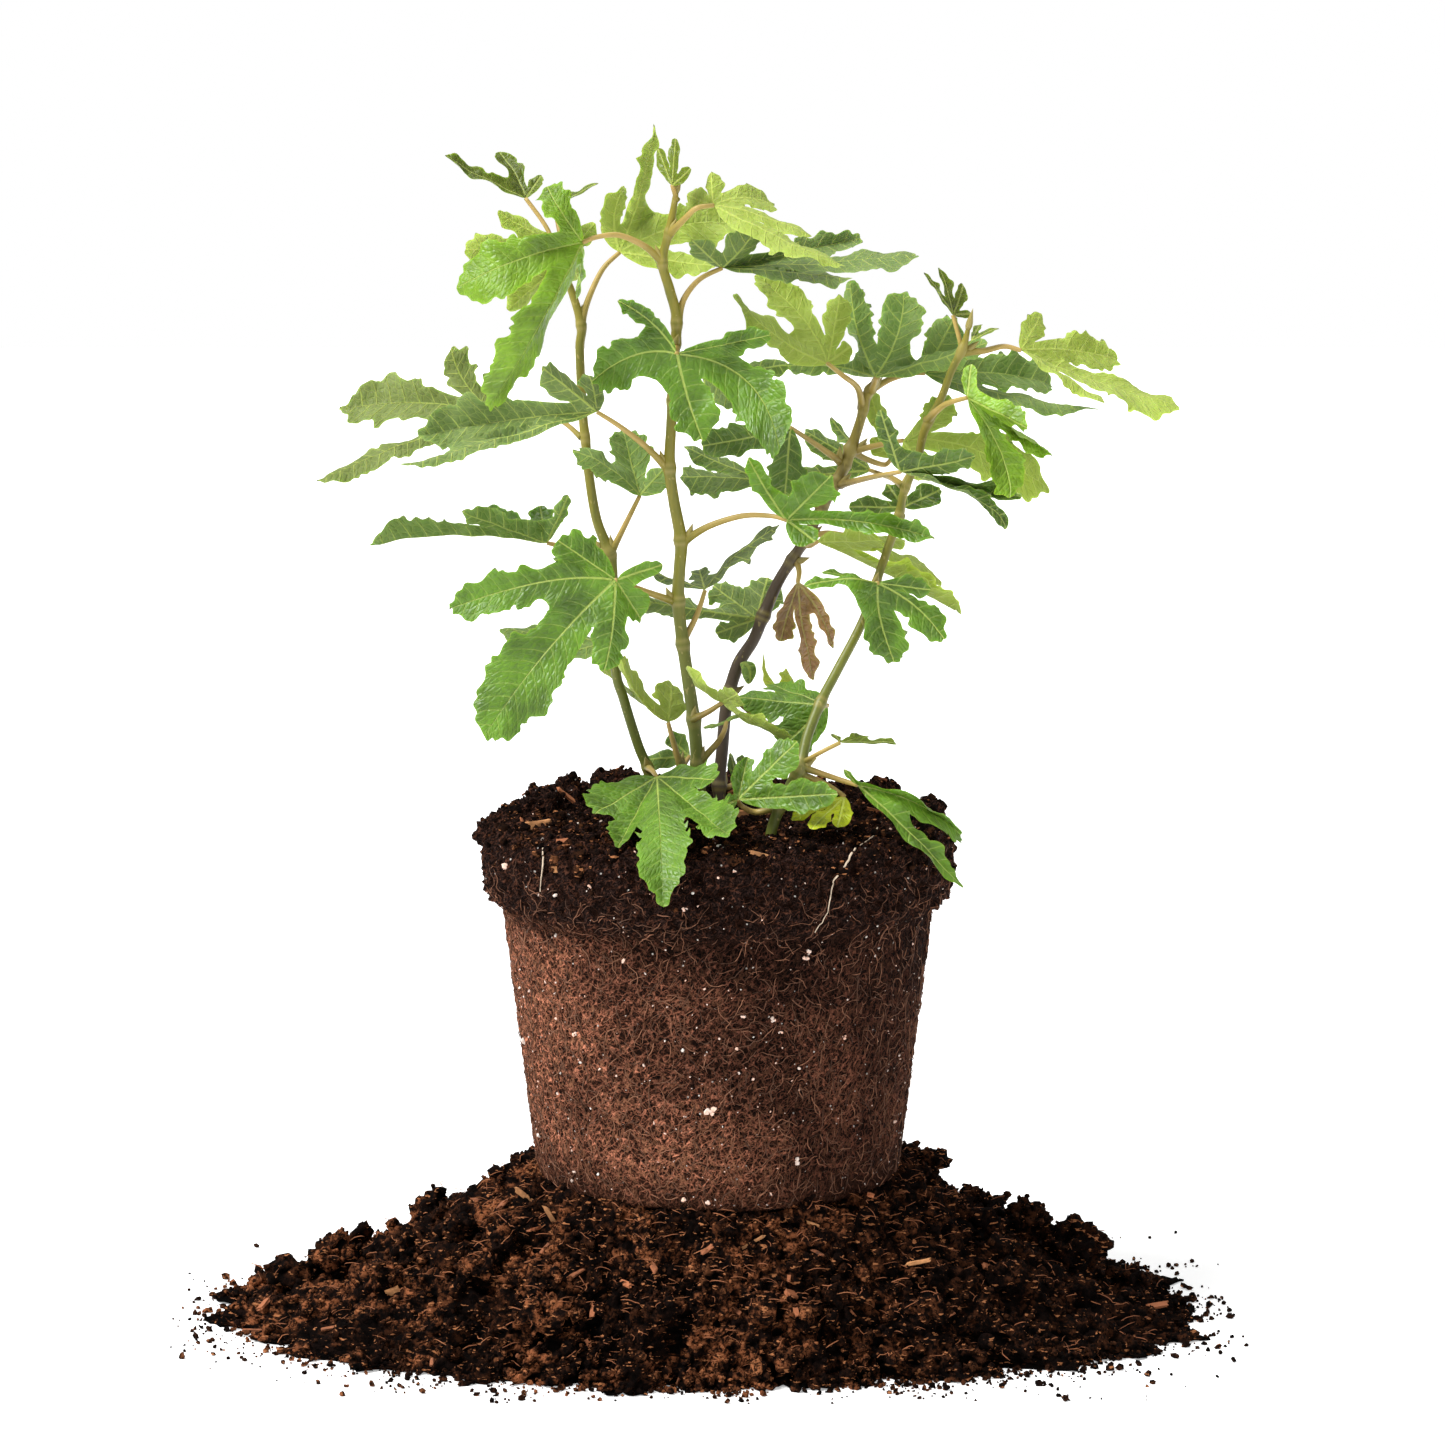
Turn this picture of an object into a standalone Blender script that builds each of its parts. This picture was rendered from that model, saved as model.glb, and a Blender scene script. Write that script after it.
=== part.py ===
"""Young fig plant out of its pot: a moulded root ball on a heap of loose soil, four stems and lobed leaves.

Lengths in the tables are millimetres. A point of the plant is (across, up, depth): where it is seen from
the front, at the real scale of the root ball's axis, and how far it lies behind that axis.
"""
import math
import random

import bmesh
import bpy
from mathutils import Vector, noise
from mathutils.geometry import delaunay_2d_cdt

MM = 0.001

# The view that the points of the plant are given in
VIEW_DISTANCE = 2200.0
VIEW_RISE = math.radians(10.0)
VIEW_CENTRE_ACROSS = 1.6
VIEW_CENTRE_UP = 211.5

# Driving dimensions of the root ball
BALL_BOTTOM = 52.0
BALL_BOTTOM_RADIUS = 64.0
BALL_NECK_RADIUS = 76.0
BALL_NECK_HEIGHT = 152.0
RIM_RADIUS = 82.5
RIM_BOTTOM = 155.0
RIM_TOP = 176.0
SOIL_LEVEL = 182.0
BALL_LUMP = 9.0
BALL_ROUGHNESS = 2.0
BALL_ROUGH_RISE = 0.3
BALL_SIDES = 42

# Driving dimensions of the soil heap
HEAP_TO_RIGHT = 169.0
HEAP_TO_LEFT = 180.0
HEAP_TO_FRONT = 98.0
HEAP_TO_BACK = 110.0
HEAP_TOP = 55.0
HEAP_EDGE = 1.2
HEAP_HOLLOW = 0.2
BANK_HEIGHT = 6.0
BANK_HALF_WIDTH = 8.0
SOCKET_MARGIN = 20.0
SOCKET_GAP = 0.6
HEAP_SIDES = 50
HEAP_RINGS = 8

# Roughness of the heap: size and spacing of its lumps, share of the slope where they fade, uneven edge
HEAP_LUMPS = [(4.2, 17.0), (2.2, 7.0)]
HEAP_FADE = 0.25
UNEVEN_EDGE = 0.05
EDGE_BENDS = 2.6
CLOD_STANDS_OUT = 0.4
CLOD_FLATNESS = 0.8
CLOD_LUMPS = 1.3
CLOD_ROUGHNESS = 0.35

# Plant sizes
GAP = 0.3
PETIOLE_GAP = 0.75
BLADE_THICKNESS = 0.7
PETIOLE_RADIUS = 1.25
PETIOLE_END_RADIUS = 0.6
YOUNG_SHARE = 0.7
STEM_FOOT = 168.0
STEM_SIDES = 6
PETIOLE_SIDES = 5
NODE_SWELL = 1.18
BUD_LENGTH = 3.6
BUD_OFF_CENTRE = 0.3
BUD_RISE = 0.5
BUD_LEAN = 0.9
BUD_RADIUS = 1.3
BUD_TIP_RADIUS = 0.25
BUD_SIDES = 3
FIRST_BUD_STATION = 2
HOLE_SIDES = 8
HOLE_ABOVE_SOIL = 12.0

# Leaf outline: where a tooth's tip (True) or valley stands along a lobe, and its share of the half width
SIDE_OF_LONG_LOBE = [
    (0.46, 0.70, False), (0.55, 0.99, True), (0.62, 0.84, False), (0.71, 1.08, True),
    (0.79, 0.82, False), (0.88, 0.84, True), (0.95, 0.46, False),
]
SIDE_OF_MIDDLE_LOBE = [
    (0.50, 0.78, False), (0.62, 1.04, True), (0.72, 0.82, False), (0.85, 0.84, True), (0.94, 0.46, False),
]
SIDE_OF_SHORT_LOBE = [(0.60, 1.0, True), (0.86, 0.70, False)]
LONG_LOBE = 38.0
SHORT_LOBE = 20.0
BASAL_EDGE = [(0.10, 0.34), (0.28, 0.66)]
MIDRIB_STEPS = 16
MIDRIB_STATIONS = (0.22, 0.45, 0.66, 0.84)
SHORT_MIDRIB_STATIONS = (0.45,)
SINUS_SHARE = 0.42
BEYOND_SINUS = 1.04
TOOTH_SHIFT = 0.015
TOOTH_SPREAD = 0.08
WITHIN_SECTOR = 0.93
SINGLE_LOBE_SECTOR = math.radians(45.0)
TOWARD_CAMERA = (0.2, -0.9, 0.4)
NARROWEST_SECTOR = math.radians(20.0)
WIDEST_SECTOR = math.radians(110.0)
CUP = 1.5
WAVE = 1.1
WAVE_FALLOFF = 1.5
WIDEST_LIFT = 1.2
WAVES_ALONG_LOBE = 2.4
FULLY_WAVED_LOBE = 45.0


class Leaf:
    """A blade's tone, base point and lobes, each (tip, half width, optional point on its midrib).

    The sinuses are how far each cut between two lobes is from the base, as a share of the shorter lobe.
    """

    def __init__(self, tone, base, lobes, sinus=None):
        self.tone = tone
        self.base = base
        self.lobes = lobes
        self.sinus = sinus


LEAVES = {
    "leaf_left_1": Leaf(
        "mature", (-39.5, 239.5, 20),
        [
            ((-54.5, 235, 12), 5),
            ((-76.5, 244.5, 26), 6),
        ],
    ),
    "leaf_left_2": Leaf(
        "mature", (-27.5, 291, 8),
        [
            ((-51, 306.5, 2), 7, (-39.5, 301.5, 4)),
            ((-33.5, 314, 26), 8.5),
            ((-19.5, 300, 12), 6),
        ],
        sinus=[0.55, 0.6],
    ),
    "leaf_left_3": Leaf(
        "mature", (-60, 274.5, 16),
        [
            ((-62.5, 287, 34), 5),
            ((-84, 287, 36), 5),
            ((-122, 273.5, 4), 8.5, (-92.5, 277.5, 8)),
            ((-90, 285.5, 6), 5.5),
            ((-52.5, 291.5, 4), 2.5),
        ],
    ),
    "leaf_left_4": Leaf(
        "young", (-78, 320, 20),
        [
            ((-140.5, 296, -8), 5.5, (-110, 309, 6)),
            ((-132.5, 321, 30), 9, (-106.5, 323.5, 26)),
            ((-93.5, 343, 27), 6.5, (-88.5, 330.5, 25)),
        ],
    ),
    "leaf_left_5": Leaf(
        "pale", (-34.5, 376.5, 18),
        [
            ((-33.5, 399.5, 16), 6, (-36.5, 389.5, 20)),
            ((-23, 421.5, 34), 3.4, (-27, 399, 26)),
            ((7.5, 386, 36), 9, (-13.5, 385.5, 26)),
            ((-1, 371, 14), 5),
        ],
    ),
    "leaf_left_6": Leaf(
        "pale", (-52, 376, 34),
        [
            ((-49, 366.5, 42), 4),
            ((-73.5, 356.5, 28), 6),
            ((-89, 377.5, 24), 7),
            ((-77.5, 390.5, 32), 4),
            ((-43.5, 386.5, 45), 4),
        ],
    ),
    "leaf_left_7": Leaf(
        "young", (-67.5, 395.5, 25),
        [
            ((-62, 403.5, 36), 2.5),
            ((-77, 411.5, 42), 4.5, (-71.5, 404.5, 34)),
            ((-96, 410.5, 18), 3.5, (-83, 403, 20)),
        ],
    ),
    "leaf_left_8": Leaf(
        "young", (-57.5, 392.5, 34),
        [
            ((-42, 401, 36), 2.2),
            ((-55.5, 396.5, 50), 3),
        ],
    ),
    "leaf_tall_1": Leaf(
        "pale", (-17.5, 211.5, 8),
        [
            ((-41.5, 230.5, 32), 4),
            ((-34, 234, 2), 7, (-27.5, 220, 4)),
            ((-16, 226, 20), 8),
        ],
    ),
    "leaf_tall_2": Leaf(
        "pale", (1.5, 218.5, -20),
        [
            ((-11, 231.5, -20), 4.5, (-6, 224, -22)),
            ((7, 221.5, -36), 5),
            ((26, 206.5, -32), 6, (13, 211.5, -30)),
        ],
    ),
    "leaf_tall_3": Leaf(
        "dull", (-4.5, 258, 6),
        [
            ((-24, 264, 12), 4),
            ((-6.5, 265, 26), 4),
            ((21.5, 281, 2), 6.5, (7, 270, 2)),
        ],
    ),
    "leaf_tall_4": Leaf(
        "mature", (-36, 261.5, -24),
        [
            ((-56.5, 275.5, -22), 9.5),
            ((-94, 251.5, -28), 7.5, (-60.5, 261, -28)),
            ((-82, 206.5, -42), 14, (-60.5, 236, -34)),
            ((-40, 229.5, -36), 7, (-37, 244, -32)),
            ((-27, 247.5, -22), 6.5),
            ((-19.5, 267, -18), 3.2),
        ],
        sinus=[0.85, 0.44, 0.59, 0.8, 0.42],
    ),
    "leaf_tall_5": Leaf(
        "mature", (24, 282.5, -14),
        [
            ((34, 275, -22), 5),
            ((76, 276, -24), 5.5, (50, 282, -18)),
            ((39.5, 298, -20), 9),
            ((10.5, 304.5, -26), 4, (17, 293, -18)),
        ],
    ),
    "leaf_tall_6": Leaf(
        "dark", (-42.5, 320.5, -6),
        [
            ((-111.5, 301, -38), 4),
            ((-105.5, 311.5, -18), 11, (-73, 317.5, -12)),
            ((-61.5, 336, -14), 7),
            ((-45, 334, 4), 6),
        ],
        sinus=[0.85, 0.42, 0.42],
    ),
    "leaf_tall_7": Leaf(
        "mature", (-14.5, 341, -10),
        [
            ((-35, 359.5, -12), 3.6, (-23, 351.5, -8)),
            ((-44, 331.5, -16), 9.5, (-29, 340.5, -10)),
            ((-5.5, 310.5, -18), 8.5, (-11, 326.5, -12)),
            ((21.5, 307, -24), 11, (10, 331.5, -8)),
            ((18.5, 347.5, -6), 6, (3.5, 344.5, -8)),
        ],
        sinus=[0.55, 0.42, 0.45, 0.62],
    ),
    "leaf_tall_8": Leaf(
        "dark", (-5.5, 334, 18),
        [
            ((25, 336.5, 24), 4),
            ((9.5, 322.5, 10), 6),
        ],
    ),
    "leaf_tall_9": Leaf(
        "mature", (-47.5, 380, -8),
        [
            ((-60, 399.5, -4), 7, (-55, 390.5, -14)),
            ((-91.5, 364, -22), 11.5, (-71.5, 373.5, -24)),
            ((-80.5, 322, -30), 9.5, (-63, 350, -32)),
            ((-50, 360, 6), 3),
        ],
    ),
    "leaf_tall_10": Leaf(
        "dark", (1.5, 371, 8),
        [
            ((-9, 381, 2), 4.5),
            ((13.5, 385, 2), 7, (8.5, 378, 2)),
            ((50.5, 381.5, 26), 6),
            ((70, 376, 4), 10, (37.5, 372.5, 8)),
            ((47, 367, -10), 6),
        ],
    ),
    "leaf_tall_11": Leaf(
        "pale", (-1.5, 393, -8),
        [
            ((-10.5, 396.5, 8), 4),
            ((-2.5, 405.5, 0), 4.5),
            ((20, 393, 6), 7, (9.5, 395.5, -2)),
            ((33, 382, -12), 5, (16.5, 389, -10)),
            ((44.5, 371.5, -30), 7, (20, 382, -20)),
        ],
    ),
    "leaf_tall_12": Leaf(
        "young", (-16, 400, -5),
        [
            ((-9, 406, -11), 2.8),
            ((-14.5, 416.5, -1), 3.2),
            ((-21, 413, 3), 2.6),
        ],
    ),
    "leaf_woody_1": Leaf(
        "mature", (8, 232.5, 19),
        [
            ((11, 225, 14), 2.2, (11, 230.5, 16)),
        ],
    ),
    "leaf_woody_2": Leaf(
        "dark", (13.5, 248, 31),
        [
            ((-0.5, 243, 30), 6),
            ((-28.5, 254.5, 18), 5.5, (-6.5, 251, 26)),
            ((-2, 259.5, 38), 7),
            ((17.5, 262.5, 44), 7.5),
        ],
        sinus=[0.6, 0.7, 0.7],
    ),
    "leaf_woody_3": Leaf(
        "dead", (28, 260.5, 20),
        [
            ((21.5, 240, 14), 5.5),
            ((34, 226.5, 22), 4.2, (30, 243.5, 20)),
            ((40.5, 237.5, 30), 3, (35, 250.5, 26)),
        ],
    ),
    "leaf_woody_4": Leaf(
        "pale", (44, 277.5, 22),
        [
            ((65.5, 274.5, 40), 5),
            ((78.5, 260.5, 26), 8, (63, 270.5, 24)),
        ],
    ),
    "leaf_woody_5": Leaf(
        "pale", (35, 275, 6),
        [
            ((57, 275.5, -14), 7),
            ((85.5, 249.5, -4), 7.5, (60.5, 263.5, 0)),
            ((58.5, 274, 12), 6),
        ],
    ),
    "leaf_woody_6": Leaf(
        "dark", (16.5, 296, 14),
        [
            ((-13.5, 297.5, 6), 9, (1.5, 297.5, 12)),
            ((-12, 308, 20), 5),
        ],
    ),
    "leaf_woody_7": Leaf(
        "dark", (64, 299.5, -18),
        [
            ((101.5, 279.5, -26), 4.8, (89, 291, -22)),
            ((106, 291, -10), 7, (85, 294, -14)),
            ((90, 304.5, -26), 6),
            ((57, 321, -24), 4),
        ],
    ),
    "leaf_woody_8": Leaf(
        "dark", (25.5, 315, 2),
        [
            ((-6, 308.5, 8), 6, (11, 311.5, 6)),
            ((23.5, 290.5, -2), 7),
        ],
    ),
    "leaf_woody_9": Leaf(
        "pale", (65, 310.5, 12),
        [
            ((81.5, 325.5, 20), 7, (74.5, 316, 14)),
            ((116.5, 293.5, 14), 9.5, (88, 308, 14)),
            ((74.5, 296.5, 4), 5),
        ],
    ),
    "leaf_woody_10": Leaf(
        "pale", (61, 304.5, 32),
        [
            ((54, 311.5, 31), 4),
            ((52.5, 329, 34), 4),
        ],
    ),
    "leaf_woody_11": Leaf(
        "pale", (38.5, 337.5, 16),
        [
            ((5, 361, 6), 7, (22, 345.5, 10)),
            ((13.5, 368, 30), 7.5, (30, 353, 24)),
            ((43, 361.5, 26), 6),
            ((46.5, 343.5, 20), 4),
        ],
    ),
    "leaf_woody_12": Leaf(
        "mature", (72.5, 334, 20),
        [
            ((83, 353.5, 28), 7),
            ((117.5, 329.5, 36), 9, (95.5, 334, 26)),
            ((134, 322, 4), 7.5, (106.5, 325, 10)),
        ],
    ),
    "leaf_woody_13": Leaf(
        "mature", (55.5, 332.5, 17),
        [
            ((23, 336.5, 44), 3.5, (41, 336.5, 34)),
            ((46.5, 367, 34), 6.5, (49, 349, 28)),
            ((65.5, 362.5, 34), 9, (63, 347, 28)),
            ((95, 344.5, 4), 4.6, (74.5, 338, 10)),
        ],
    ),
    "leaf_right_1": Leaf(
        "dull", (7, 184.5, -46),
        [
            ((42, 186.5, -60), 5.5),
            ((27.5, 204.5, -50), 8),
            ((10.5, 199.5, -40), 5.5),
            ((1.5, 182, -50), 4.5),
        ],
        sinus=[0.5, 0.6, 0.5],
    ),
    "leaf_right_2": Leaf(
        "yellow", (44.5, 185.5, -38),
        [
            ((26, 178, -50), 5),
            ((33, 174.5, -58), 4),
            ((42, 175, -54), 4),
        ],
    ),
    "leaf_right_3": Leaf(
        "mature", (49, 189.5, -44),
        [
            ((85.5, 153.5, -52), 4.6, (68, 172.5, -50)),
            ((86, 171.5, -28), 8.5, (70, 183, -38)),
            ((44.5, 195, -50), 1.6),
        ],
    ),
    "leaf_right_4": Leaf(
        "young", (43, 204.5, -44),
        [
            ((63, 204.5, -50), 3),
            ((52.5, 206.5, -26), 3),
            ((40.5, 207.5, -36), 2),
        ],
    ),
    "leaf_right_5": Leaf(
        "mature", (38.5, 217.5, -16),
        [
            ((17.5, 225, 2), 7),
            ((7, 220.5, -8), 7),
            ((22, 202.5, -12), 8.5),
        ],
        sinus=[0.7, 0.7],
    ),
    "leaf_woody_14": Leaf(
        "yellow", (31.5, 211, 8),
        [
            ((16, 236.5, 16), 1.6, (18.5, 226.5, 12)),
            ((24, 230.5, 20), 6),
            ((30.5, 222, 28), 5),
        ],
    ),
    "leaf_right_7": Leaf(
        "mature", (56, 260.5, -28),
        [
            ((36.5, 265, -26), 5),
            ((30, 259, -36), 2.6, (43.5, 262, -34)),
            ((62, 232.5, -33), 8, (57, 247, -30)),
            ((79.5, 240.5, -29), 6.5, (69, 252.5, -26)),
            ((74.5, 258, -22), 5),
        ],
    ),
    "leaf_right_8": Leaf(
        "dark", (65, 287, 5),
        [
            ((78, 293, 11), 5),
            ((59.5, 295, 10), 4),
            ((46, 287, 4), 4),
        ],
    ),
    "leaf_right_9": Leaf(
        "dark", (53.5, 300, 38),
        [
            ((23.5, 297.5, 34), 4),
            ((30.5, 314, 40), 6),
            ((39.5, 318.5, 50), 3),
        ],
    ),
    "leaf_right_10": Leaf(
        "mature", (87.5, 325.5, -26),
        [
            ((102.5, 290.5, -34), 8, (99, 307, -24)),
            ((117.5, 305.5, -16), 5.5),
            ((108.5, 315, -40), 6),
            ((89, 337.5, -20), 3),
        ],
    ),
    "leaf_right_11": Leaf(
        "pale", (106.5, 342, -10),
        [
            ((113.5, 355, 0), 5, (110, 348.5, -4)),
            ((140.5, 338.5, 8), 7.5, (123.5, 342, 0)),
            ((162, 322.5, -16), 12, (133.5, 330.5, -8)),
            ((136, 324, -26), 4),
        ],
    ),
    "leaf_right_12": Leaf(
        "young", (82.5, 354.5, -8),
        [
            ((89, 355, -2), 1.6),
            ((86.5, 365.5, 2), 2.6),
            ((78, 371.5, -6), 3),
            ((72.5, 369.5, -20), 2),
        ],
    ),
    "leaf_right_13": Leaf(
        "young", (89, 345.5, -16),
        [
            ((98.5, 350, -9), 1.9),
            ((92.5, 351.5, -1), 1.6),
        ],
    ),
    "leaf_low_1": Leaf(
        "mature", (-21.5, 192.5, -18),
        [
            ((-43, 179.5, -50), 11),
            ((-35, 168, -68), 8),
            ((-19, 146.5, -92), 11.5, (-20.5, 176.5, -66)),
            ((4, 171.5, -78), 10),
            ((-1, 191.5, -40), 8),
        ],
        sinus=[0.95, 0.9, 0.73, 0.8],
    ),
    "leaf_low_2": Leaf(
        "mature", (-10, 199.5, 20),
        [
            ((-25.5, 198.5, 28), 4),
            ((-17.5, 207, 28), 4),
        ],
    ),
    "leaf_low_3": Leaf(
        "dark", (6.5, 191, 34),
        [
            ((4, 200.5, 33), 3),
            ((9.5, 199.5, 43), 3.5),
        ],
    ),
    "leaf_low_4": Leaf(
        "mature", (3, 211.5, 10),
        [
            ((-5, 209.5, 7), 3.2),
            ((7.5, 215, 18), 3),
        ],
    ),
}

# Way of each leaf's stalk, from inside the stem to its last bend before the blade
PETIOLES = {
    "stem_left": [
        ("leaf_left_1", [(-37, 238.5, 16), (-38.5, 239.5, 18)]),
        ("leaf_left_2", [(-37.5, 271, 15), (-32.5, 281, 12)]),
        ("leaf_left_3", [(-39.5, 272, 15), (-50, 272.5, 17)]),
        ("leaf_left_4", [(-48, 311.5, 14), (-55.5, 317.5, 18), (-67.5, 320, 21)]),
        ("leaf_left_5", [(-48, 351.5, 13), (-45.5, 360, 14), (-40.5, 370.5, 16)]),
        ("leaf_left_6", [(-54.5, 370.5, 13), (-53, 373, 22)]),
        ("leaf_left_7", [(-56.5, 373, 13), (-59.5, 384, 20)]),
        ("leaf_left_8", [(-55, 371.5, 13), (-55.5, 382.5, 26)]),
        ("leaf_low_1", [(-24.5, 195.5, 19), (-23, 194.5, 0)]),
    ],
    "stem_tall": [
        ("leaf_tall_2", [(-9, 212.5, 1), (-3, 215.5, -12)]),
        ("leaf_tall_3", [(-12.5, 239.5, 1), (-7.5, 249, 4)]),
        ("leaf_tall_4", [(-15.5, 254, 1), (-25.5, 257.5, -9), (-34.5, 261, -16)]),
        ("leaf_tall_5", [(-11.5, 275.5, 0), (-3, 280.5, -4), (8.5, 284, -7), (18.5, 284, -9)]),
        ("leaf_tall_6", [(-18, 301, 0), (-25.5, 308.5, -4), (-34.5, 315.5, -6)]),
        ("leaf_tall_7", [(-15, 344.5, 0), (-14.5, 342, -4)]),
        ("leaf_tall_8", [(-16, 324.5, 0), (-11, 330.5, 12)]),
        ("leaf_tall_9", [(-19.5, 373, 0), (-25.5, 378.5, -2), (-34.5, 382.5, -6), (-42, 382, -8)]),
        ("leaf_tall_10", [(-14, 352, 0), (-12, 360, 2), (-6.5, 367, 6)]),
        ("leaf_tall_11", [(-17, 383, 0), (-12, 388, -6), (-7.5, 392, -10)]),
        ("leaf_tall_12", [(-14.5, 395, 0)]),
        ("leaf_low_4", [(-7, 197, 2), (-0.5, 204, 3), (2, 208, 3)]),
    ],
    "stem_woody": [
        ("leaf_woody_2", [(16, 248.5, 24), (15, 248, 27)]),
        ("leaf_woody_3", [(27.5, 268.5, 25), (28.5, 264.5, 22)]),
        ("leaf_woody_4", [(31.5, 276.5, 26), (38, 278, 25)]),
        ("leaf_woody_5", [(31, 275, 26), (32, 273.5, 15)]),
        ("leaf_woody_6", [(36.5, 287, 27), (27, 291.5, 22)]),
        ("leaf_woody_7", [(43, 295, 26), (53.5, 297.5, 8)]),
        ("leaf_woody_8", [(43, 303, 27), (34.5, 309, 14)]),
        ("leaf_woody_9", [(48.5, 307, 27), (57, 309, 20)]),
        ("leaf_woody_10", [(47.5, 306.5, 27), (52, 304, 31), (58.5, 302, 35)]),
        ("leaf_woody_11", [(50.5, 322, 26), (49, 329, 18), (43.5, 333.5, 9)]),
        ("leaf_woody_12", [(53.5, 328, 25), (60.5, 332, 27), (68, 334, 23)]),
        ("leaf_woody_13", [(54, 328, 23)]),
        ("leaf_woody_14", [(4, 222, 21), (16.5, 211.5, 22), (28.5, 206.5, 13)]),
        ("leaf_low_3", [(1.5, 189, 18), (4, 189, 25)]),
    ],
    "stem_right": [
        ("leaf_right_1", [(22, 182, -41), (13.5, 180, -37), (8.5, 182, -40)]),
        ("leaf_right_2", [(27.5, 194, -40), (37.5, 190, -34)]),
        ("leaf_right_3", [(29, 196, -40), (39.5, 192.5, -40)]),
        ("leaf_right_4", [(30, 197.5, -39), (36, 201, -44)]),
        ("leaf_right_5", [(35.5, 218.5, -26), (37, 217.5, -21)]),
        ("leaf_right_7", [(54.5, 259.5, -13), (55.5, 260, -20)]),
        ("leaf_right_8", [(64, 284, -8), (64.5, 285.5, 0)]),
        ("leaf_right_9", [(65.5, 294, -8), (61.5, 297, 10), (57.5, 298.5, 28)]),
        ("leaf_right_10", [(73.5, 317.5, -9), (79.5, 323, -20)]),
        ("leaf_right_11", [(86.5, 341.5, -10), (93.5, 342, -10), (100.5, 343.5, -10)]),
        ("leaf_right_12", [(85.5, 343.5, -10), (84, 349, -9)]),
    ],
    "shoot_low": [
        ("leaf_tall_1", [(-13, 195.5, 10), (-15.5, 204, 9)]),
        ("leaf_low_2", [(-13, 195.5, 10)]),
    ],
}

# Middle line and radius of each stem, from the soil up
STEMS = {
    "stem_left": [
        ((-24, 188, 20), 1.9),
        ((-24.5, 195, 20), 1.85),
        ((-28, 203.5, 19), 1.8),
        ((-33, 219.5, 17), 1.8),
        ((-36, 231.5, 16), 1.8),
        ((-37, 265, 15), 1.8),
        ((-38.5, 272, 15), 1.9),
        ((-42.5, 282.5, 15), 1.75),
        ((-45, 296.5, 14), 1.7),
        ((-46.5, 310.5, 14), 1.7),
        ((-47.5, 321, 14), 1.6),
        ((-48.5, 342, 13), 1.6),
        ((-48, 351, 13), 1.6),
        ((-52, 364.5, 13), 1.3),
        ((-56, 373, 13), 0.9),
    ],
    "stem_tall": [
        ((-6.5, 188, 4), 2.3),
        ((-7, 195.5, 3), 2.3),
        ((-8.5, 212.5, 2), 2.3),
        ((-10.5, 226.5, 1), 2.2),
        ((-12.5, 240.5, 1), 2.2),
        ((-14, 254.5, 1), 2.2),
        ((-13.5, 265, 0), 2.1),
        ((-13, 275.5, 0), 2.2),
        ((-15.5, 289.5, 0), 2),
        ((-17, 301, 0), 2),
        ((-16.5, 314, 0), 1.8),
        ((-16, 324.5, 0), 1.8),
        ((-15.5, 338.5, 0), 1.8),
        ((-14.5, 353, 0), 1.8),
        ((-17, 363.5, 0), 1.8),
        ((-19.5, 373, 0), 1.6),
        ((-17.5, 382.5, 0), 1.4),
        ((-16, 389.5, 0), 1.3),
        ((-14.5, 398.5, 0), 0.7),
    ],
    "stem_woody": [
        ((0.5, 184.5, 17), 2.2),
        ((0.5, 191.5, 18), 2.2),
        ((1.5, 202, 19), 2.2),
        ((3, 217.5, 21), 2.2),
        ((7, 231.5, 22), 2.3),
        ((12.5, 240.5, 23), 2.1),
        ((16, 249, 24), 2.2),
        ((21.5, 261.5, 25), 2),
        ((30.5, 275.5, 26), 1.9),
        ((36, 286, 27), 1.9),
        ((43, 298.5, 27), 2),
        ((46.5, 307, 27), 1.9),
        ((50, 317.5, 26), 1.7),
        ((52.5, 326.5, 25), 1.5),
        ((55, 331, 22), 1.1),
    ],
    "stem_right": [
        ((18.5, 172, -42), 1.9),
        ((21, 180, -41), 1.9),
        ((25.5, 189.5, -40), 1.9),
        ((29, 196.5, -39), 1.9),
        ((31.5, 207, -34), 1.8),
        ((36.5, 219.5, -27), 1.8),
        ((42, 230, -21), 1.7),
        ((51, 247.5, -15), 1.6),
        ((57, 265, -11), 1.5),
        ((63, 282.5, -8), 1.5),
        ((65.5, 293, -8), 1.4),
        ((70, 303.5, -8), 1.4),
        ((72.5, 314, -9), 1.5),
        ((78, 324.5, -9), 1.4),
        ((82, 335, -10), 1.3),
        ((86, 343, -11), 1.4),
        ((88, 350.5, -12), 0.6),
    ],
    "shoot_low": [
        ((-12.5, 188, 11), 1.2),
        ((-13, 195.5, 10), 1.2),
    ],
}


MATERIALS = {
    "leaf_mature": ((0.130, 0.300, 0.060), 0.45),
    "leaf_dark": ((0.050, 0.130, 0.035), 0.50),
    "leaf_dull": ((0.090, 0.190, 0.085), 0.55),
    "leaf_pale": ((0.330, 0.480, 0.110), 0.50),
    "leaf_young": ((0.230, 0.300, 0.050), 0.50),
    "leaf_yellow": ((0.400, 0.500, 0.040), 0.50),
    "leaf_dead": ((0.180, 0.090, 0.045), 0.75),
    "stem_green": ((0.200, 0.210, 0.050), 0.55),
    "stem_bark": ((0.080, 0.055, 0.032), 0.70),
    "root_mat": ((0.075, 0.030, 0.018), 0.90),
    "loose_soil": ((0.025, 0.012, 0.007), 0.95),
}
STEM_MATERIAL = {"stem_woody": "stem_bark"}


def clear_scene():
    for obj in list(bpy.data.objects):
        bpy.data.objects.remove(obj, do_unlink=True)


def make_material(name):
    colour, roughness = MATERIALS[name]
    material = bpy.data.materials.new(name)
    material.use_nodes = True
    shader = material.node_tree.nodes["Principled BSDF"]
    shader.inputs["Base Color"].default_value = (*colour, 1.0)
    shader.inputs["Roughness"].default_value = roughness
    shader.inputs["Metallic"].default_value = 0.0
    return material


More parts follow.
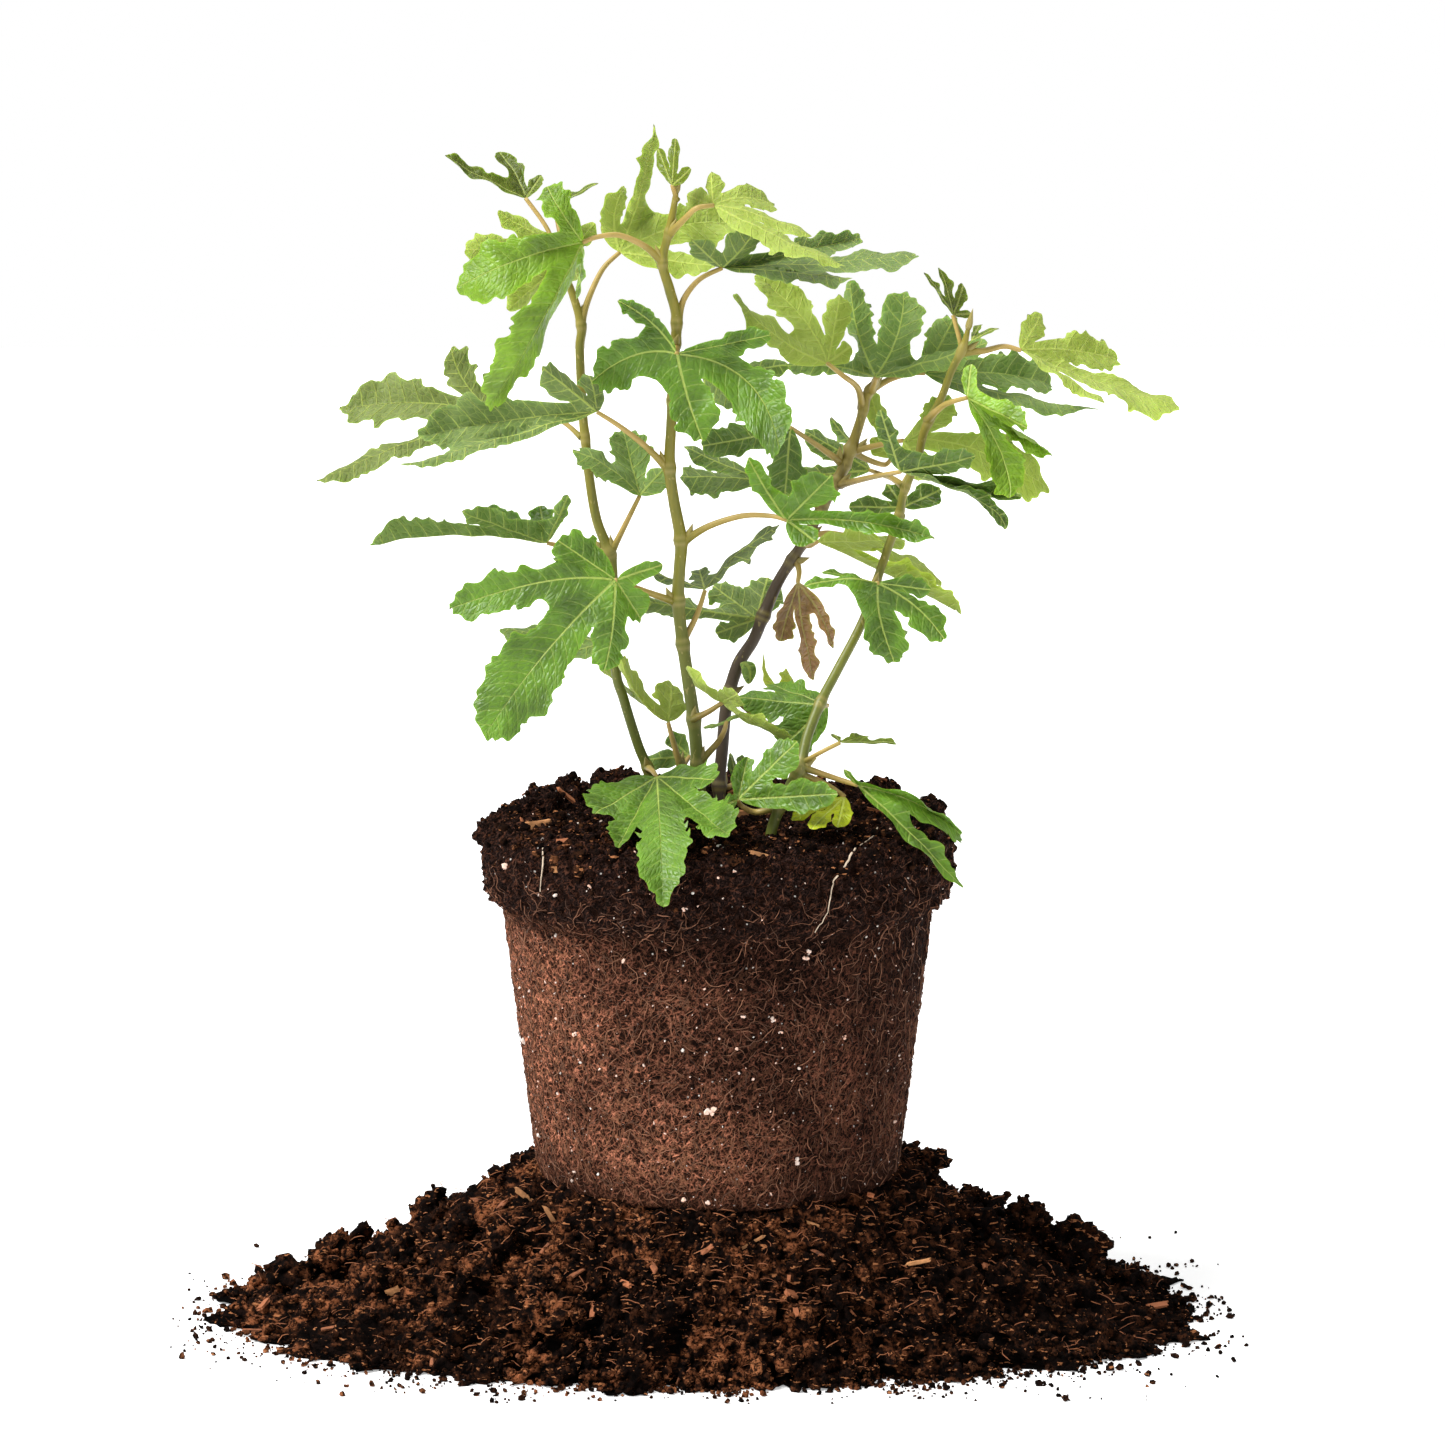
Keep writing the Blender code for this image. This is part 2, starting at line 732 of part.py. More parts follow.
def seen(point):
    """The place in space of an (across, up, depth) point, undoing the view's perspective."""
    across, up, depth = point
    across -= VIEW_CENTRE_ACROSS
    up -= VIEW_CENTRE_UP
    sine, cosine = math.sin(VIEW_RISE), math.cos(VIEW_RISE)
    beyond = (depth - up * sine) / (cosine + up * sine / VIEW_DISTANCE)
    growth = (VIEW_DISTANCE + beyond) / VIEW_DISTANCE
    centre_height = VIEW_CENTRE_UP / cosine
    return Vector((
        VIEW_CENTRE_ACROSS + growth * across,
        depth,
        centre_height + growth * up * cosine - beyond * sine,
    ))


def add_object(name, points, faces, material, smooth=False):
    """An object from points in millimetres."""
    mesh = bpy.data.meshes.new(name)
    mesh.from_pydata([Vector(point) * MM for point in points], [], faces)
    mesh.validate()
    mesh.materials.append(material)
    for polygon in mesh.polygons:
        polygon.use_smooth = smooth
    obj = bpy.data.objects.new(name, mesh)
    bpy.context.collection.objects.link(obj)
    return obj


def faces_outward(obj):
    shape = bmesh.new()
    shape.from_mesh(obj.data)
    bmesh.ops.recalc_face_normals(shape, faces=shape.faces)
    shape.to_mesh(obj.data)
    shape.free()


def join(obj, others, operation, solver="EXACT"):
    """One Boolean of a whole collection, applied, and the collection's objects removed."""
    if not others:
        return
    group = bpy.data.collections.new(obj.name + "_others")
    bpy.context.scene.collection.children.link(group)
    for other in others:
        bpy.context.collection.objects.unlink(other)
        group.objects.link(other)
    boolean = obj.modifiers.new("join", "BOOLEAN")
    boolean.operation = operation
    boolean.operand_type = "COLLECTION"
    boolean.collection = group
    boolean.solver = solver
    graph = bpy.context.evaluated_depsgraph_get()
    joined = bpy.data.meshes.new_from_object(obj.evaluated_get(graph))
    obj.modifiers.clear()
    obj.data = joined
    for other in others:
        bpy.data.objects.remove(other, do_unlink=True)
    bpy.data.collections.remove(group)


# Tubes: stems, petioles, buds


def tube_rings(points, radii, sides):
    """Rings of points round a line, each turned from the last as little as it can be."""
    rings = []
    side = None
    for index, point in enumerate(points):
        before = points[max(index - 1, 0)]
        after = points[min(index + 1, len(points) - 1)]
        along = (after - before).normalized()
        if side is None:
            side = along.orthogonal().normalized()
        side = (side - along * side.dot(along)).normalized()
        other = along.cross(side)
        ring = []
        for step in range(sides):
            turn = 2 * math.pi * step / sides
            ring.append(point + (side * math.cos(turn) + other * math.sin(turn)) * radii[index])
        rings.append(ring)
    return rings


def add_tube(name, points, radii, sides, material):
    rings = tube_rings(points, radii, sides)
    verts = [corner for ring in rings for corner in ring]
    faces = [list(range(sides))[::-1]]
    for row in range(len(rings) - 1):
        for step in range(sides):
            following = (step + 1) % sides
            low, high = row * sides, (row + 1) * sides
            faces.append([low + step, low + following, high + following, high + step])
    last = (len(rings) - 1) * sides
    faces.append([last + step for step in range(sides)])
    obj = add_object(name, verts, faces, material, smooth=True)
    faces_outward(obj)
    return obj


def smooth_line(points, steps):
    """Points on a curve through the given ones, a few for each stretch."""
    line = [points[0]]
    for index in range(len(points) - 1):
        a = points[max(index - 1, 0)]
        b, c = points[index], points[index + 1]
        d = points[min(index + 2, len(points) - 1)]
        for step in range(1, steps + 1):
            t = step / steps
            line.append(0.5 * (
                2 * b + (c - a) * t + (2 * a - 5 * b + 4 * c - d) * t * t + (3 * b - a - 3 * c + d) * t ** 3
            ))
    return line


def nearest_on_stem(line, place):
    """Index of the stem's point nearest to a place."""
    return min(range(len(line)), key=lambda index: (line[index] - place).length)


def petiole_line(start, bends, end):
    """From inside the stem, through the bends, to just short of the blade's base."""
    points = [start] + bends
    toward = (end - points[-1]).normalized()
    points.append(end - toward * PETIOLE_GAP)
    return smooth_line(points, 1 if len(points) > 3 else 2)


def add_bud(name, centre, along, outward, radius, material):
    """A small pointed bud above a leaf's foot, leaning out between the stem and the petiole."""
    foot = centre + outward * radius * BUD_OFF_CENTRE + along * BUD_RISE
    tip = foot + (along + outward * BUD_LEAN).normalized() * (BUD_LENGTH + radius)
    return add_tube(name, [foot, tip], [BUD_RADIUS, BUD_TIP_RADIUS], BUD_SIDES, material)


def build_stem(name, stations, petioles, materials):
    """A stem with its leaves' stalks, and a bud above the foot of each mature leaf's stalk."""
    material = materials[STEM_MATERIAL.get(name, "stem_green")]
    line = [seen(point) for point, _ in stations]
    radii = [radius for _, radius in stations]
    line.insert(0, Vector((line[0].x, line[0].y, STEM_FOOT)))
    radii.insert(0, radii[0])
    extras = []
    for number, (leaf_name, route) in enumerate(petioles):
        places = [seen(point) for point in route]
        nearest = nearest_on_stem(line, places[0])
        along = (line[nearest] - line[nearest - 1]).normalized()
        young = LEAVES[leaf_name].tone == "young"
        path = petiole_line(places[0], places[1:], seen(LEAVES[leaf_name].base))
        thickness = PETIOLE_RADIUS * (YOUNG_SHARE if young else 1.0)
        widths = [thickness] * (len(path) - 1) + [PETIOLE_END_RADIUS]
        extras.append(add_tube(f"petiole_{number}", path, widths, PETIOLE_SIDES, material))
        if young or nearest < FIRST_BUD_STATION:
            continue
        outward = (path[1] - path[0]).normalized()
        extras.append(add_bud(f"bud_{number}", places[0], along, outward, radii[nearest], material))
        radii[nearest] *= NODE_SWELL
    stem = add_tube(name, line, radii, STEM_SIDES, material)
    join(stem, extras, "UNION", "MANIFOLD")
    return stem


# Leaf blades


class Midrib:
    """The curved line of a lobe's midrib, measured along its length."""

    def __init__(self, base, tip, via):
        middle = via if via else (base + tip) / 2
        pull = 2 * middle - (base + tip) / 2
        self.points = []
        for step in range(MIDRIB_STEPS + 1):
            t = step / MIDRIB_STEPS
            self.points.append((1 - t) ** 2 * base + 2 * t * (1 - t) * pull + t * t * tip)
        self.lengths = [0.0]
        for a, b in zip(self.points, self.points[1:]):
            self.lengths.append(self.lengths[-1] + (b - a).length)
        self.length = self.lengths[-1]

    def from_base(self, distance):
        """The way from the base to the point at this length; past the tip the line runs straight on."""
        if distance >= self.length:
            end = self.points[-1]
            along = (end - self.points[-2]).normalized()
            return end + along * (distance - self.length) - self.points[0]
        for index in range(MIDRIB_STEPS):
            if distance <= self.lengths[index + 1]:
                share = (distance - self.lengths[index]) / (self.lengths[index + 1] - self.lengths[index])
                return self.points[index].lerp(self.points[index + 1], share) - self.points[0]
        return self.points[-1] - self.points[0]


class Blade:
    """A leaf blade laid out flat, and the way from the flat layout into space."""

    def __init__(self, leaf, seed):
        self.random = random.Random(seed)
        self.sinus = leaf.sinus or [SINUS_SHARE] * len(leaf.lobes)
        self.base = seen(leaf.base)
        self.ribs = []
        self.widths = []
        for lobe in leaf.lobes:
            tip = seen(lobe[0])
            via = seen(lobe[2]) if len(lobe) > 2 else None
            self.ribs.append(Midrib(self.base, tip, via))
            self.widths.append(lobe[1])
        self.angles = [0.0]
        for a, b in zip(self.ribs, self.ribs[1:]):
            self.angles.append(self.angles[-1] + self.angle_between(a, b))
        if len(self.ribs) == 1:
            self.give_single_lobe_a_side()
        self.phase = self.random.uniform(0, 6.28)

    def angle_between(self, a, b):
        at_tips = a.from_base(a.length).angle(b.from_base(b.length))
        halfway = a.from_base(a.length / 2).angle(b.from_base(b.length / 2))
        return min(max((at_tips + halfway) / 2, NARROWEST_SECTOR), WIDEST_SECTOR)

    def give_single_lobe_a_side(self):
        """A second line, with no lobe of its own, that tells which way a one-lobed blade faces."""
        along = self.ribs[0].from_base(self.ribs[0].length).normalized()
        sideways = along.cross(Vector(TOWARD_CAMERA)).normalized()
        tip = self.base + (along + sideways).normalized() * self.ribs[0].length
        self.ribs.append(Midrib(self.base, tip, None))
        self.angles.append(SINGLE_LOBE_SECTOR)
        self.widths.append(0.0)

    def in_space(self, flat):
        """The place in space of a flat point, before cupping and waves."""
        radius = flat.length
        if radius < 1e-9:
            return self.base.copy()
        angle = math.atan2(flat.y, flat.x)
        if angle < -math.pi / 2:
            angle += 2 * math.pi
        sector = 0
        while sector < len(self.ribs) - 2 and angle > self.angles[sector + 1]:
            sector += 1
        opening = self.angles[sector + 1] - self.angles[sector]
        first = math.sin(self.angles[sector + 1] - angle) / math.sin(opening)
        second = math.sin(angle - self.angles[sector]) / math.sin(opening)
        a, b = self.ribs[sector], self.ribs[sector + 1]
        return self.base + first * a.from_base(radius) + second * b.from_base(radius)

    def off_midrib(self, flat):
        """Distance along and away from the nearest lobe's midrib, with that lobe's number."""
        best = (0.0, 1e9, 0)
        for index, angle in enumerate(self.angles):
            if self.widths[index] == 0.0:
                continue
            along = flat.x * math.cos(angle) + flat.y * math.sin(angle)
            away = abs(flat.y * math.cos(angle) - flat.x * math.sin(angle))
            if along > 0 and away < best[1]:
                best = (along, away, index)
        return best

    def lift(self, flat):
        """How far a flat point is raised by the cupping and the wavy edge."""
        along, away, index = self.off_midrib(flat)
        if away > 1e8:
            return 0.0
        width = self.widths[index]
        share = min(away / width, WIDEST_LIFT)
        size = min(1.0, self.ribs[index].length / FULLY_WAVED_LOBE)
        turns = WAVES_ALONG_LOBE * along / self.ribs[index].length
        wave = math.sin(2 * math.pi * turns + self.phase + index)
        return size * (CUP * share * share + WAVE * wave * share ** WAVE_FALLOFF)

    def side_points(self, index, sign, neighbour):
        """Points up one side of a lobe, from beyond its sinus to its tip, kept within its own sector."""
        length, width = self.ribs[index].length, self.widths[index]
        limit, start = None, 0.0
        if neighbour is not None:
            limit = abs(self.angles[neighbour] - self.angles[index]) / 2
            start = self.sinus_reach(index, neighbour) * math.cos(limit) * BEYOND_SINUS
        if length > LONG_LOBE:
            stations = SIDE_OF_LONG_LOBE
        elif length > SHORT_LOBE:
            stations = SIDE_OF_MIDDLE_LOBE
        else:
            stations = SIDE_OF_SHORT_LOBE
        points = []
        for along, share, tooth in stations:
            along += self.random.uniform(-TOOTH_SHIFT, TOOTH_SHIFT)
            share *= self.random.uniform(1.0 - TOOTH_SPREAD, 1.0 + TOOTH_SPREAD)
            if along * length > start:
                points.append(self.on_lobe(index, sign, along * length, share * width, limit))
        return points

    def sinus_reach(self, index, neighbour):
        """Distance from the base to the bottom of the sinus between two lobes."""
        share = self.sinus[min(index, neighbour)]
        return share * min(self.ribs[index].length, self.ribs[neighbour].length)

    def on_lobe(self, index, sign, along, away, limit):
        if limit is not None:
            away = min(away, along * math.tan(limit) * WITHIN_SECTOR)
        angle = self.angles[index]
        x = along * math.cos(angle) - sign * away * math.sin(angle)
        y = along * math.sin(angle) + sign * away * math.cos(angle)
        return Vector((x, y))

    def outline(self):
        """The blade's edge, counter-clockwise from its base, and the tip of each lobe."""
        lobes = [index for index, width in enumerate(self.widths) if width > 0]
        edge = [Vector((0.0, 0.0))]
        tips = []
        for place, index in enumerate(lobes):
            length, width = self.ribs[index].length, self.widths[index]
            before = index - 1 if place > 0 else None
            following = index + 1 if place < len(lobes) - 1 else None
            if before is None:
                for along, share in BASAL_EDGE:
                    edge.append(self.on_lobe(index, -1, along * length, share * width, None))
            edge += self.side_points(index, -1, before)
            tips.append(len(edge))
            edge.append(self.on_lobe(index, 1, length, 0.0, None))
            edge += self.side_points(index, 1, following)[::-1]
            if following is not None:
                reach = self.sinus_reach(index, following)
                angle = (self.angles[index] + self.angles[following]) / 2
                edge.append(Vector((reach * math.cos(angle), reach * math.sin(angle))))
            else:
                for along, share in BASAL_EDGE[::-1]:
                    edge.append(self.on_lobe(index, 1, along * length, share * width, None))
        return edge, tips

    def flat_mesh(self):
        """Flat points, triangles and the number of edge points."""
        edge, tips = self.outline()
        points = list(edge)
        lines = []
        lobes = [index for index, width in enumerate(self.widths) if width > 0]
        for index, tip in zip(lobes, tips):
            length = self.ribs[index].length
            stations = MIDRIB_STATIONS if length > SHORT_LOBE else SHORT_MIDRIB_STATIONS
            before = 0
            for along in stations:
                points.append(self.on_lobe(index, 1, along * length, 0.0, None))
                lines.append((before, len(points) - 1))
                before = len(points) - 1
            lines.append((before, tip))
        flat, _, faces = delaunay_2d_cdt(points, lines, [list(range(len(edge)))], 1, 1e-6)[:3]
        return flat, [list(face) for face in faces]


def boundary_of(faces):
    """Edges that only one face has, in that face's direction."""
    seen_edges = {}
    for face in faces:
        for a, b in zip(face, face[1:] + face[:1]):
            seen_edges[(a, b)] = True
    return [(a, b) for a, b in seen_edges if (b, a) not in seen_edges]


def normals_of(points, faces):
    normals = [Vector((0.0, 0.0, 0.0)) for _ in points]
    for face in faces:
        a, b, c = (points[index] for index in face)
        normal = (b - a).cross(c - a)
        for index in face:
            normals[index] += normal
    return [normal.normalized() for normal in normals]


def build_leaf(name, leaf, seed, materials):
    blade = Blade(leaf, seed)
    flat, faces = blade.flat_mesh()
    middle = [blade.in_space(point) for point in flat]
    normals = normals_of(middle, faces)
    middle = [point + normal * blade.lift(at) for point, normal, at in zip(middle, normals, flat)]
    normals = normals_of(middle, faces)
    count = len(middle)
    half = BLADE_THICKNESS / 2
    top = [point + normal * half for point, normal in zip(middle, normals)]
    bottom = [point - normal * half for point, normal in zip(middle, normals)]
    solid = [list(face) for face in faces]
    solid += [[index + count for index in face[::-1]] for face in faces]
    for a, b in boundary_of(faces):
        solid.append([b, a, a + count])
        solid.append([b, a + count, b + count])
    return add_object(name, top + bottom, solid, materials["leaf_" + leaf.tone])


# Root ball


# Radius, height and roughness up the ball's side, from its bottom edge to its soil
BALL_PROFILE = [
    (BALL_BOTTOM_RADIUS - 3.0, BALL_BOTTOM, 0.0),
    (BALL_BOTTOM_RADIUS, BALL_BOTTOM + 3.0, 0.0),
    (BALL_BOTTOM_RADIUS + 1.6, BALL_BOTTOM + 16.0, 0.0),
    (BALL_BOTTOM_RADIUS + 5.0, BALL_BOTTOM + 44.0, 0.7),
    (BALL_BOTTOM_RADIUS + 8.5, BALL_BOTTOM + 72.0, 0.7),
    (BALL_NECK_RADIUS, BALL_NECK_HEIGHT, 0.6),
    (RIM_RADIUS - 1.0, RIM_BOTTOM, 1.0),
    (RIM_RADIUS, RIM_BOTTOM + 8.0, 0.8),
    (RIM_RADIUS - 0.5, RIM_TOP, 1.4),
    (RIM_RADIUS - 4.0, RIM_TOP + 5.0, 1.4),
    (RIM_RADIUS - 14.0, SOIL_LEVEL, 1.2),
    (RIM_RADIUS - 34.0, SOIL_LEVEL, 0.9),
    (RIM_RADIUS - 55.0, SOIL_LEVEL, 0.8),
]
# Centre and radius of each lump on the ball's top edge
RIM_CLODS = [
    ((-62, 10, 184), 7.5), ((-54, 30, 184), 7.5), ((-37, 46, 183), 9.0), ((-77, -6, 176), 8.0),
    ((75, 14, 180), 6.0), ((58, 42, 181), 6.5), ((8, 62, 182), 6.0), ((36, 26, 181), 5.5),
]


def add_clod(name, centre, radius, seed, material):
    """A lump of soil: a low ball with its points pushed in and out."""
    shape = bmesh.new()
    bmesh.ops.create_icosphere(shape, subdivisions=1, radius=1.0)
    offset = Vector((seed * 7.3, seed * 3.1, seed * 1.7))
    points = []
    for vert in shape.verts:
        push = radius * (1.0 + CLOD_ROUGHNESS * noise.noise(vert.co * CLOD_LUMPS + offset))
        place = Vector((vert.co.x, vert.co.y, vert.co.z * CLOD_FLATNESS)) * push
        points.append(Vector(centre) + place)
    faces = [[vert.index for vert in face.verts] for face in shape.faces]
    shape.free()
    return add_object(name, points, faces, material, smooth=True)


def ball_points():
    """Rings of points up the ball's side, then the middle of its bottom and of its soil."""
    points = []
    for radius, height, rough in BALL_PROFILE:
        for step in range(BALL_SIDES):
            turn = 2 * math.pi * step / BALL_SIDES
            around = Vector((math.cos(turn), math.sin(turn), 0.0))
            smooth = around * radius + Vector((0.0, 0.0, height))
            push = BALL_ROUGHNESS * rough * noise.noise(smooth / BALL_LUMP)
            if height >= SOIL_LEVEL:
                points.append(smooth + Vector((0.0, 0.0, push)))
            else:
                points.append(smooth + around * push + Vector((0.0, 0.0, BALL_ROUGH_RISE * push)))
    points.append(Vector((0.0, 0.0, BALL_BOTTOM)))
    points.append(Vector((0.0, 0.0, SOIL_LEVEL)))
    return points


def build_root_ball(materials):
    """The pot-shaped ball of roots and soil, its rim, the lumps on its edge and the stems' holes."""
    material = materials["root_mat"]
    points = ball_points()
    low_centre, high_centre = len(points) - 2, len(points) - 1
    last = (len(BALL_PROFILE) - 1) * BALL_SIDES
    faces = []
    for step in range(BALL_SIDES):
        following = (step + 1) % BALL_SIDES
        faces.append([low_centre, following, step])
        faces.append([high_centre, last + step, last + following])
        for row in range(len(BALL_PROFILE) - 1):
            low, high = row * BALL_SIDES, (row + 1) * BALL_SIDES
            faces.append([low + step, low + following, high + following])
            faces.append([low + step, high + following, high + step])
    ball = add_object("root_ball", points, faces, material, smooth=True)
    clods = []
    for number, (centre, radius) in enumerate(RIM_CLODS):
        clods.append(add_clod(f"rim_clod_{number}", centre, radius, number + 20, material))
    join(ball, clods, "UNION", "MANIFOLD")
    join(ball, stem_holes(material), "DIFFERENCE", "MANIFOLD")
    return ball


def stem_holes(material):
    """Plain upright holes, a gap wider than the stems' feet."""
    holes = []
    for name, stations in STEMS.items():
        foot = seen(stations[0][0])
        radius = stations[0][1] / math.cos(math.pi / HOLE_SIDES) + GAP
        low = Vector((foot.x, foot.y, STEM_FOOT - GAP))
        high = Vector((foot.x, foot.y, SOIL_LEVEL + HOLE_ABOVE_SOIL))
        holes.append(add_tube("hole_" + name, [low, high], [radius, radius], HOLE_SIDES, material))
    return holes


# Soil heap


# Place and radius of each clod on the heap
HEAP_CLODS = [
    ((-152, 4), 10.0), ((-136, 4), 10.5), ((-110, -22), 7.0), ((-90, -24), 6.5), ((-118, -38), 8.0),
    ((-60, -76), 9.0), ((-84, -50), 8.0), ((-18, -84), 6.5), ((30, -82), 7.0), ((72, -70), 8.5),
    ((111, 10), 10.0), ((127, 4), 12.0), ((147, -2), 7.0), ((102, -44), 8.0), ((91, 12), 6.0),
    ((76, 22), 7.5), ((-74, -44), 7.0), ((0, 88), 8.0), ((-50, 84), 8.5), ((56, 82), 8.5),
    ((98, 56), 8.0), ((-104, 50), 8.0),
]


def heap_height(x, y):
    """Height of the heap's rough surface, which slopes from the ball's foot to the heap's edge."""
    radius = math.hypot(x, y)
    turn = math.atan2(y, x)
    edge = heap_edge(turn)
    foot = BALL_BOTTOM_RADIUS
    share = min(max((radius - foot) / (edge - foot), 0.0), 1.0)
    near_ball = max(0.0, 1.0 - abs(radius - foot - BANK_HALF_WIDTH) / (2 * BANK_HALF_WIDTH))
    bank = BANK_HEIGHT * near_ball * (0.6 + 0.4 * math.sin(turn))
    rough = 0.0
    for size, spacing in HEAP_LUMPS:
        rough += size * noise.noise(Vector((x, y, spacing)) / spacing)
    fade = min(1.0, (1.0 - share) / HEAP_FADE)
    slope = (1.0 - share) ** (1.0 + HEAP_HOLLOW * abs(math.cos(turn)))
    return HEAP_EDGE + (HEAP_TOP - HEAP_EDGE) * slope + (bank + rough) * fade


def heap_edge(turn):
    """Distance from the axis to the heap's edge in this direction."""
    width = HEAP_TO_RIGHT if math.cos(turn) > 0 else HEAP_TO_LEFT
    depth = HEAP_TO_BACK if math.sin(turn) > 0 else HEAP_TO_FRONT
    radius = 1.0 / math.hypot(math.cos(turn) / width, math.sin(turn) / depth)
    around = Vector((math.cos(turn), math.sin(turn), 0.0))
    return radius * (1.0 + UNEVEN_EDGE * noise.noise(around * EDGE_BENDS))


def heap_points():
    """Rings of points out to the heap's edge, its flat bottom's ring, then the two middles."""
    inner = BALL_BOTTOM_RADIUS - SOCKET_MARGIN
    points = []
    for ring in range(HEAP_RINGS):
        share = ring / (HEAP_RINGS - 1)
        for step in range(HEAP_SIDES):
            turn = 2 * math.pi * (step + 0.5 * (ring % 2)) / HEAP_SIDES
            radius = inner + (heap_edge(turn) - inner) * share
            x, y = radius * math.cos(turn), radius * math.sin(turn)
            height = HEAP_EDGE if ring == HEAP_RINGS - 1 else heap_height(x, y)
            points.append(Vector((x, y, height)))
    points += [Vector((edge.x, edge.y, 0.0)) for edge in points[-HEAP_SIDES:]]
    points.append(Vector((0.0, 0.0, HEAP_TOP)))
    points.append(Vector((0.0, 0.0, 0.0)))
    return points


def build_heap(materials):
    """The loose soil that the root ball stands in, flat underneath, with a few larger clods."""
    material = materials["loose_soil"]
    points = heap_points()
    bottom = HEAP_RINGS * HEAP_SIDES
    top_centre, low_centre = len(points) - 2, len(points) - 1
    faces = []
    for step in range(HEAP_SIDES):
        following = (step + 1) % HEAP_SIDES
        faces.append([top_centre, step, following])
        faces.append([low_centre, bottom + following, bottom + step])
        for row in range(HEAP_RINGS):
            inside, outside = row * HEAP_SIDES, (row + 1) * HEAP_SIDES
            if row % 2:
                faces.append([inside + step, outside + step, outside + following])
                faces.append([inside + step, outside + following, inside + following])
            else:
                faces.append([inside + step, outside + step, inside + following])
                faces.append([inside + following, outside + step, outside + following])
    heap = add_object("soil_heap", points, faces, material, smooth=True)
    faces_outward(heap)
    clods = []
    for number, (centre, radius) in enumerate(HEAP_CLODS):
        x, y = centre
        place = (x, y, heap_height(x, y) + radius * CLOD_STANDS_OUT)
        clods.append(add_clod(f"clod_{number}", place, radius, number, material))
    join(heap, clods, "UNION", "MANIFOLD")
    join(heap, [ball_socket(material)], "DIFFERENCE", "MANIFOLD")
    return heap


def ball_socket(material):
    """The room that the root ball needs in the heap, a gap wider than the ball's lowest rings."""
    line = []
    radii = []
    for radius, height, _ in BALL_PROFILE[:4]:
        line.append(Vector((0.0, 0.0, height)))
        radii.append(radius + SOCKET_GAP)
    line[0].z -= GAP
    return add_tube("ball_socket", line, radii, BALL_SIDES, material)


def main():
    clear_scene()
    materials = {name: make_material(name) for name in MATERIALS}
    build_heap(materials)
    build_root_ball(materials)
    for name, stations in STEMS.items():
        build_stem(name, stations, PETIOLES[name], materials)
    for seed, (name, leaf) in enumerate(LEAVES.items()):
        build_leaf(name, leaf, seed, materials)


main()
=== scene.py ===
"""Looks of a young fig plant that stands out of its pot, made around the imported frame.

Lengths in the tables are millimetres. A point of the plant is (across, up, depth): where it is seen from
the front, at the real scale of the root ball's axis, and how far it lies behind that axis.
"""
import math
import random
from collections import namedtuple
from contextlib import contextmanager

import bpy
import numpy as np
from bpy.props import FloatProperty, FloatVectorProperty, IntProperty, PointerProperty
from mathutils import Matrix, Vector, noise
from mathutils.bvhtree import BVHTree
from mathutils.geometry import delaunay_2d_cdt


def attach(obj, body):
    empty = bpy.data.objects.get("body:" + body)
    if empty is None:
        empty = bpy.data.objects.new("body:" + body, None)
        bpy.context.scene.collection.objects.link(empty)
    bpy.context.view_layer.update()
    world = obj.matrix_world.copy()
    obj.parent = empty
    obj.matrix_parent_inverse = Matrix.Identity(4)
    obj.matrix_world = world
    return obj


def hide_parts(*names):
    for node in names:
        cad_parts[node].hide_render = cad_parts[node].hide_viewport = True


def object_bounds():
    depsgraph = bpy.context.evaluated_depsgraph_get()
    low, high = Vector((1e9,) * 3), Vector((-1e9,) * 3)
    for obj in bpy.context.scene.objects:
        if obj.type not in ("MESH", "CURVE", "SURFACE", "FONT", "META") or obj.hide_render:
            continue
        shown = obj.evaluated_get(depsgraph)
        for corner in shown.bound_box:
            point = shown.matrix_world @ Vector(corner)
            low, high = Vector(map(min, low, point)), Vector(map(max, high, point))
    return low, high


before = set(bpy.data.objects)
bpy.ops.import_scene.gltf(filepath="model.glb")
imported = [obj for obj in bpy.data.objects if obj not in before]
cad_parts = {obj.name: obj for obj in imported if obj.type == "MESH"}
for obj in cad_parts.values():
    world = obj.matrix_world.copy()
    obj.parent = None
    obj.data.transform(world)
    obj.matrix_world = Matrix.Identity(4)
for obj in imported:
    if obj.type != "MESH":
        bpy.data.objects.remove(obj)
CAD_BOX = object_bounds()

bl_info = {
    "name": "Fig plant looks",
    "version": (1, 0, 0),
    "blender": (4, 5, 0),
    "location": "View3D > Sidebar > Fig",
    "description": "Leaves, stems, root ball and loose soil of a young fig plant",
    "category": "Object",
}

MM = 0.001

# A full turn, and the rounded one that some random turns are drawn with
ROUND = 2 * math.pi
ABOUT_ROUND = 6.28

# The view that the points of the plant are given in
VIEW_DISTANCE = 2200.0
VIEW_RISE = math.radians(10.0)
VIEW_CENTRE_ACROSS = 1.6
VIEW_CENTRE_UP = 211.5
IMAGE_SIDE = 1445
FOCAL_PIXELS = 6268.0
SENSOR_WIDTH = 36.0

# Root ball and soil heap, as in the frame
BALL_BOTTOM = 52.0
BALL_BOTTOM_RADIUS = 64.0
BALL_NECK_RADIUS = 76.0
BALL_NECK_HEIGHT = 152.0
RIM_RADIUS = 82.5
RIM_BOTTOM = 155.0
RIM_TOP = 176.0
SOIL_LEVEL = 182.0
HEAP_TO_RIGHT = 169.0
HEAP_TO_LEFT = 180.0
HEAP_TO_FRONT = 98.0
HEAP_TO_BACK = 110.0
HEAP_TOP = 55.0
HEAP_EDGE = 1.2
HEAP_HOLLOW = 0.2
BANK_HEIGHT = 6.0
BANK_HALF_WIDTH = 8.0
HEAP_LUMPS = [(4.2, 17.0), (2.2, 7.0)]
HEAP_FADE = 0.25
UNEVEN_EDGE = 0.05
EDGE_BENDS = 2.6

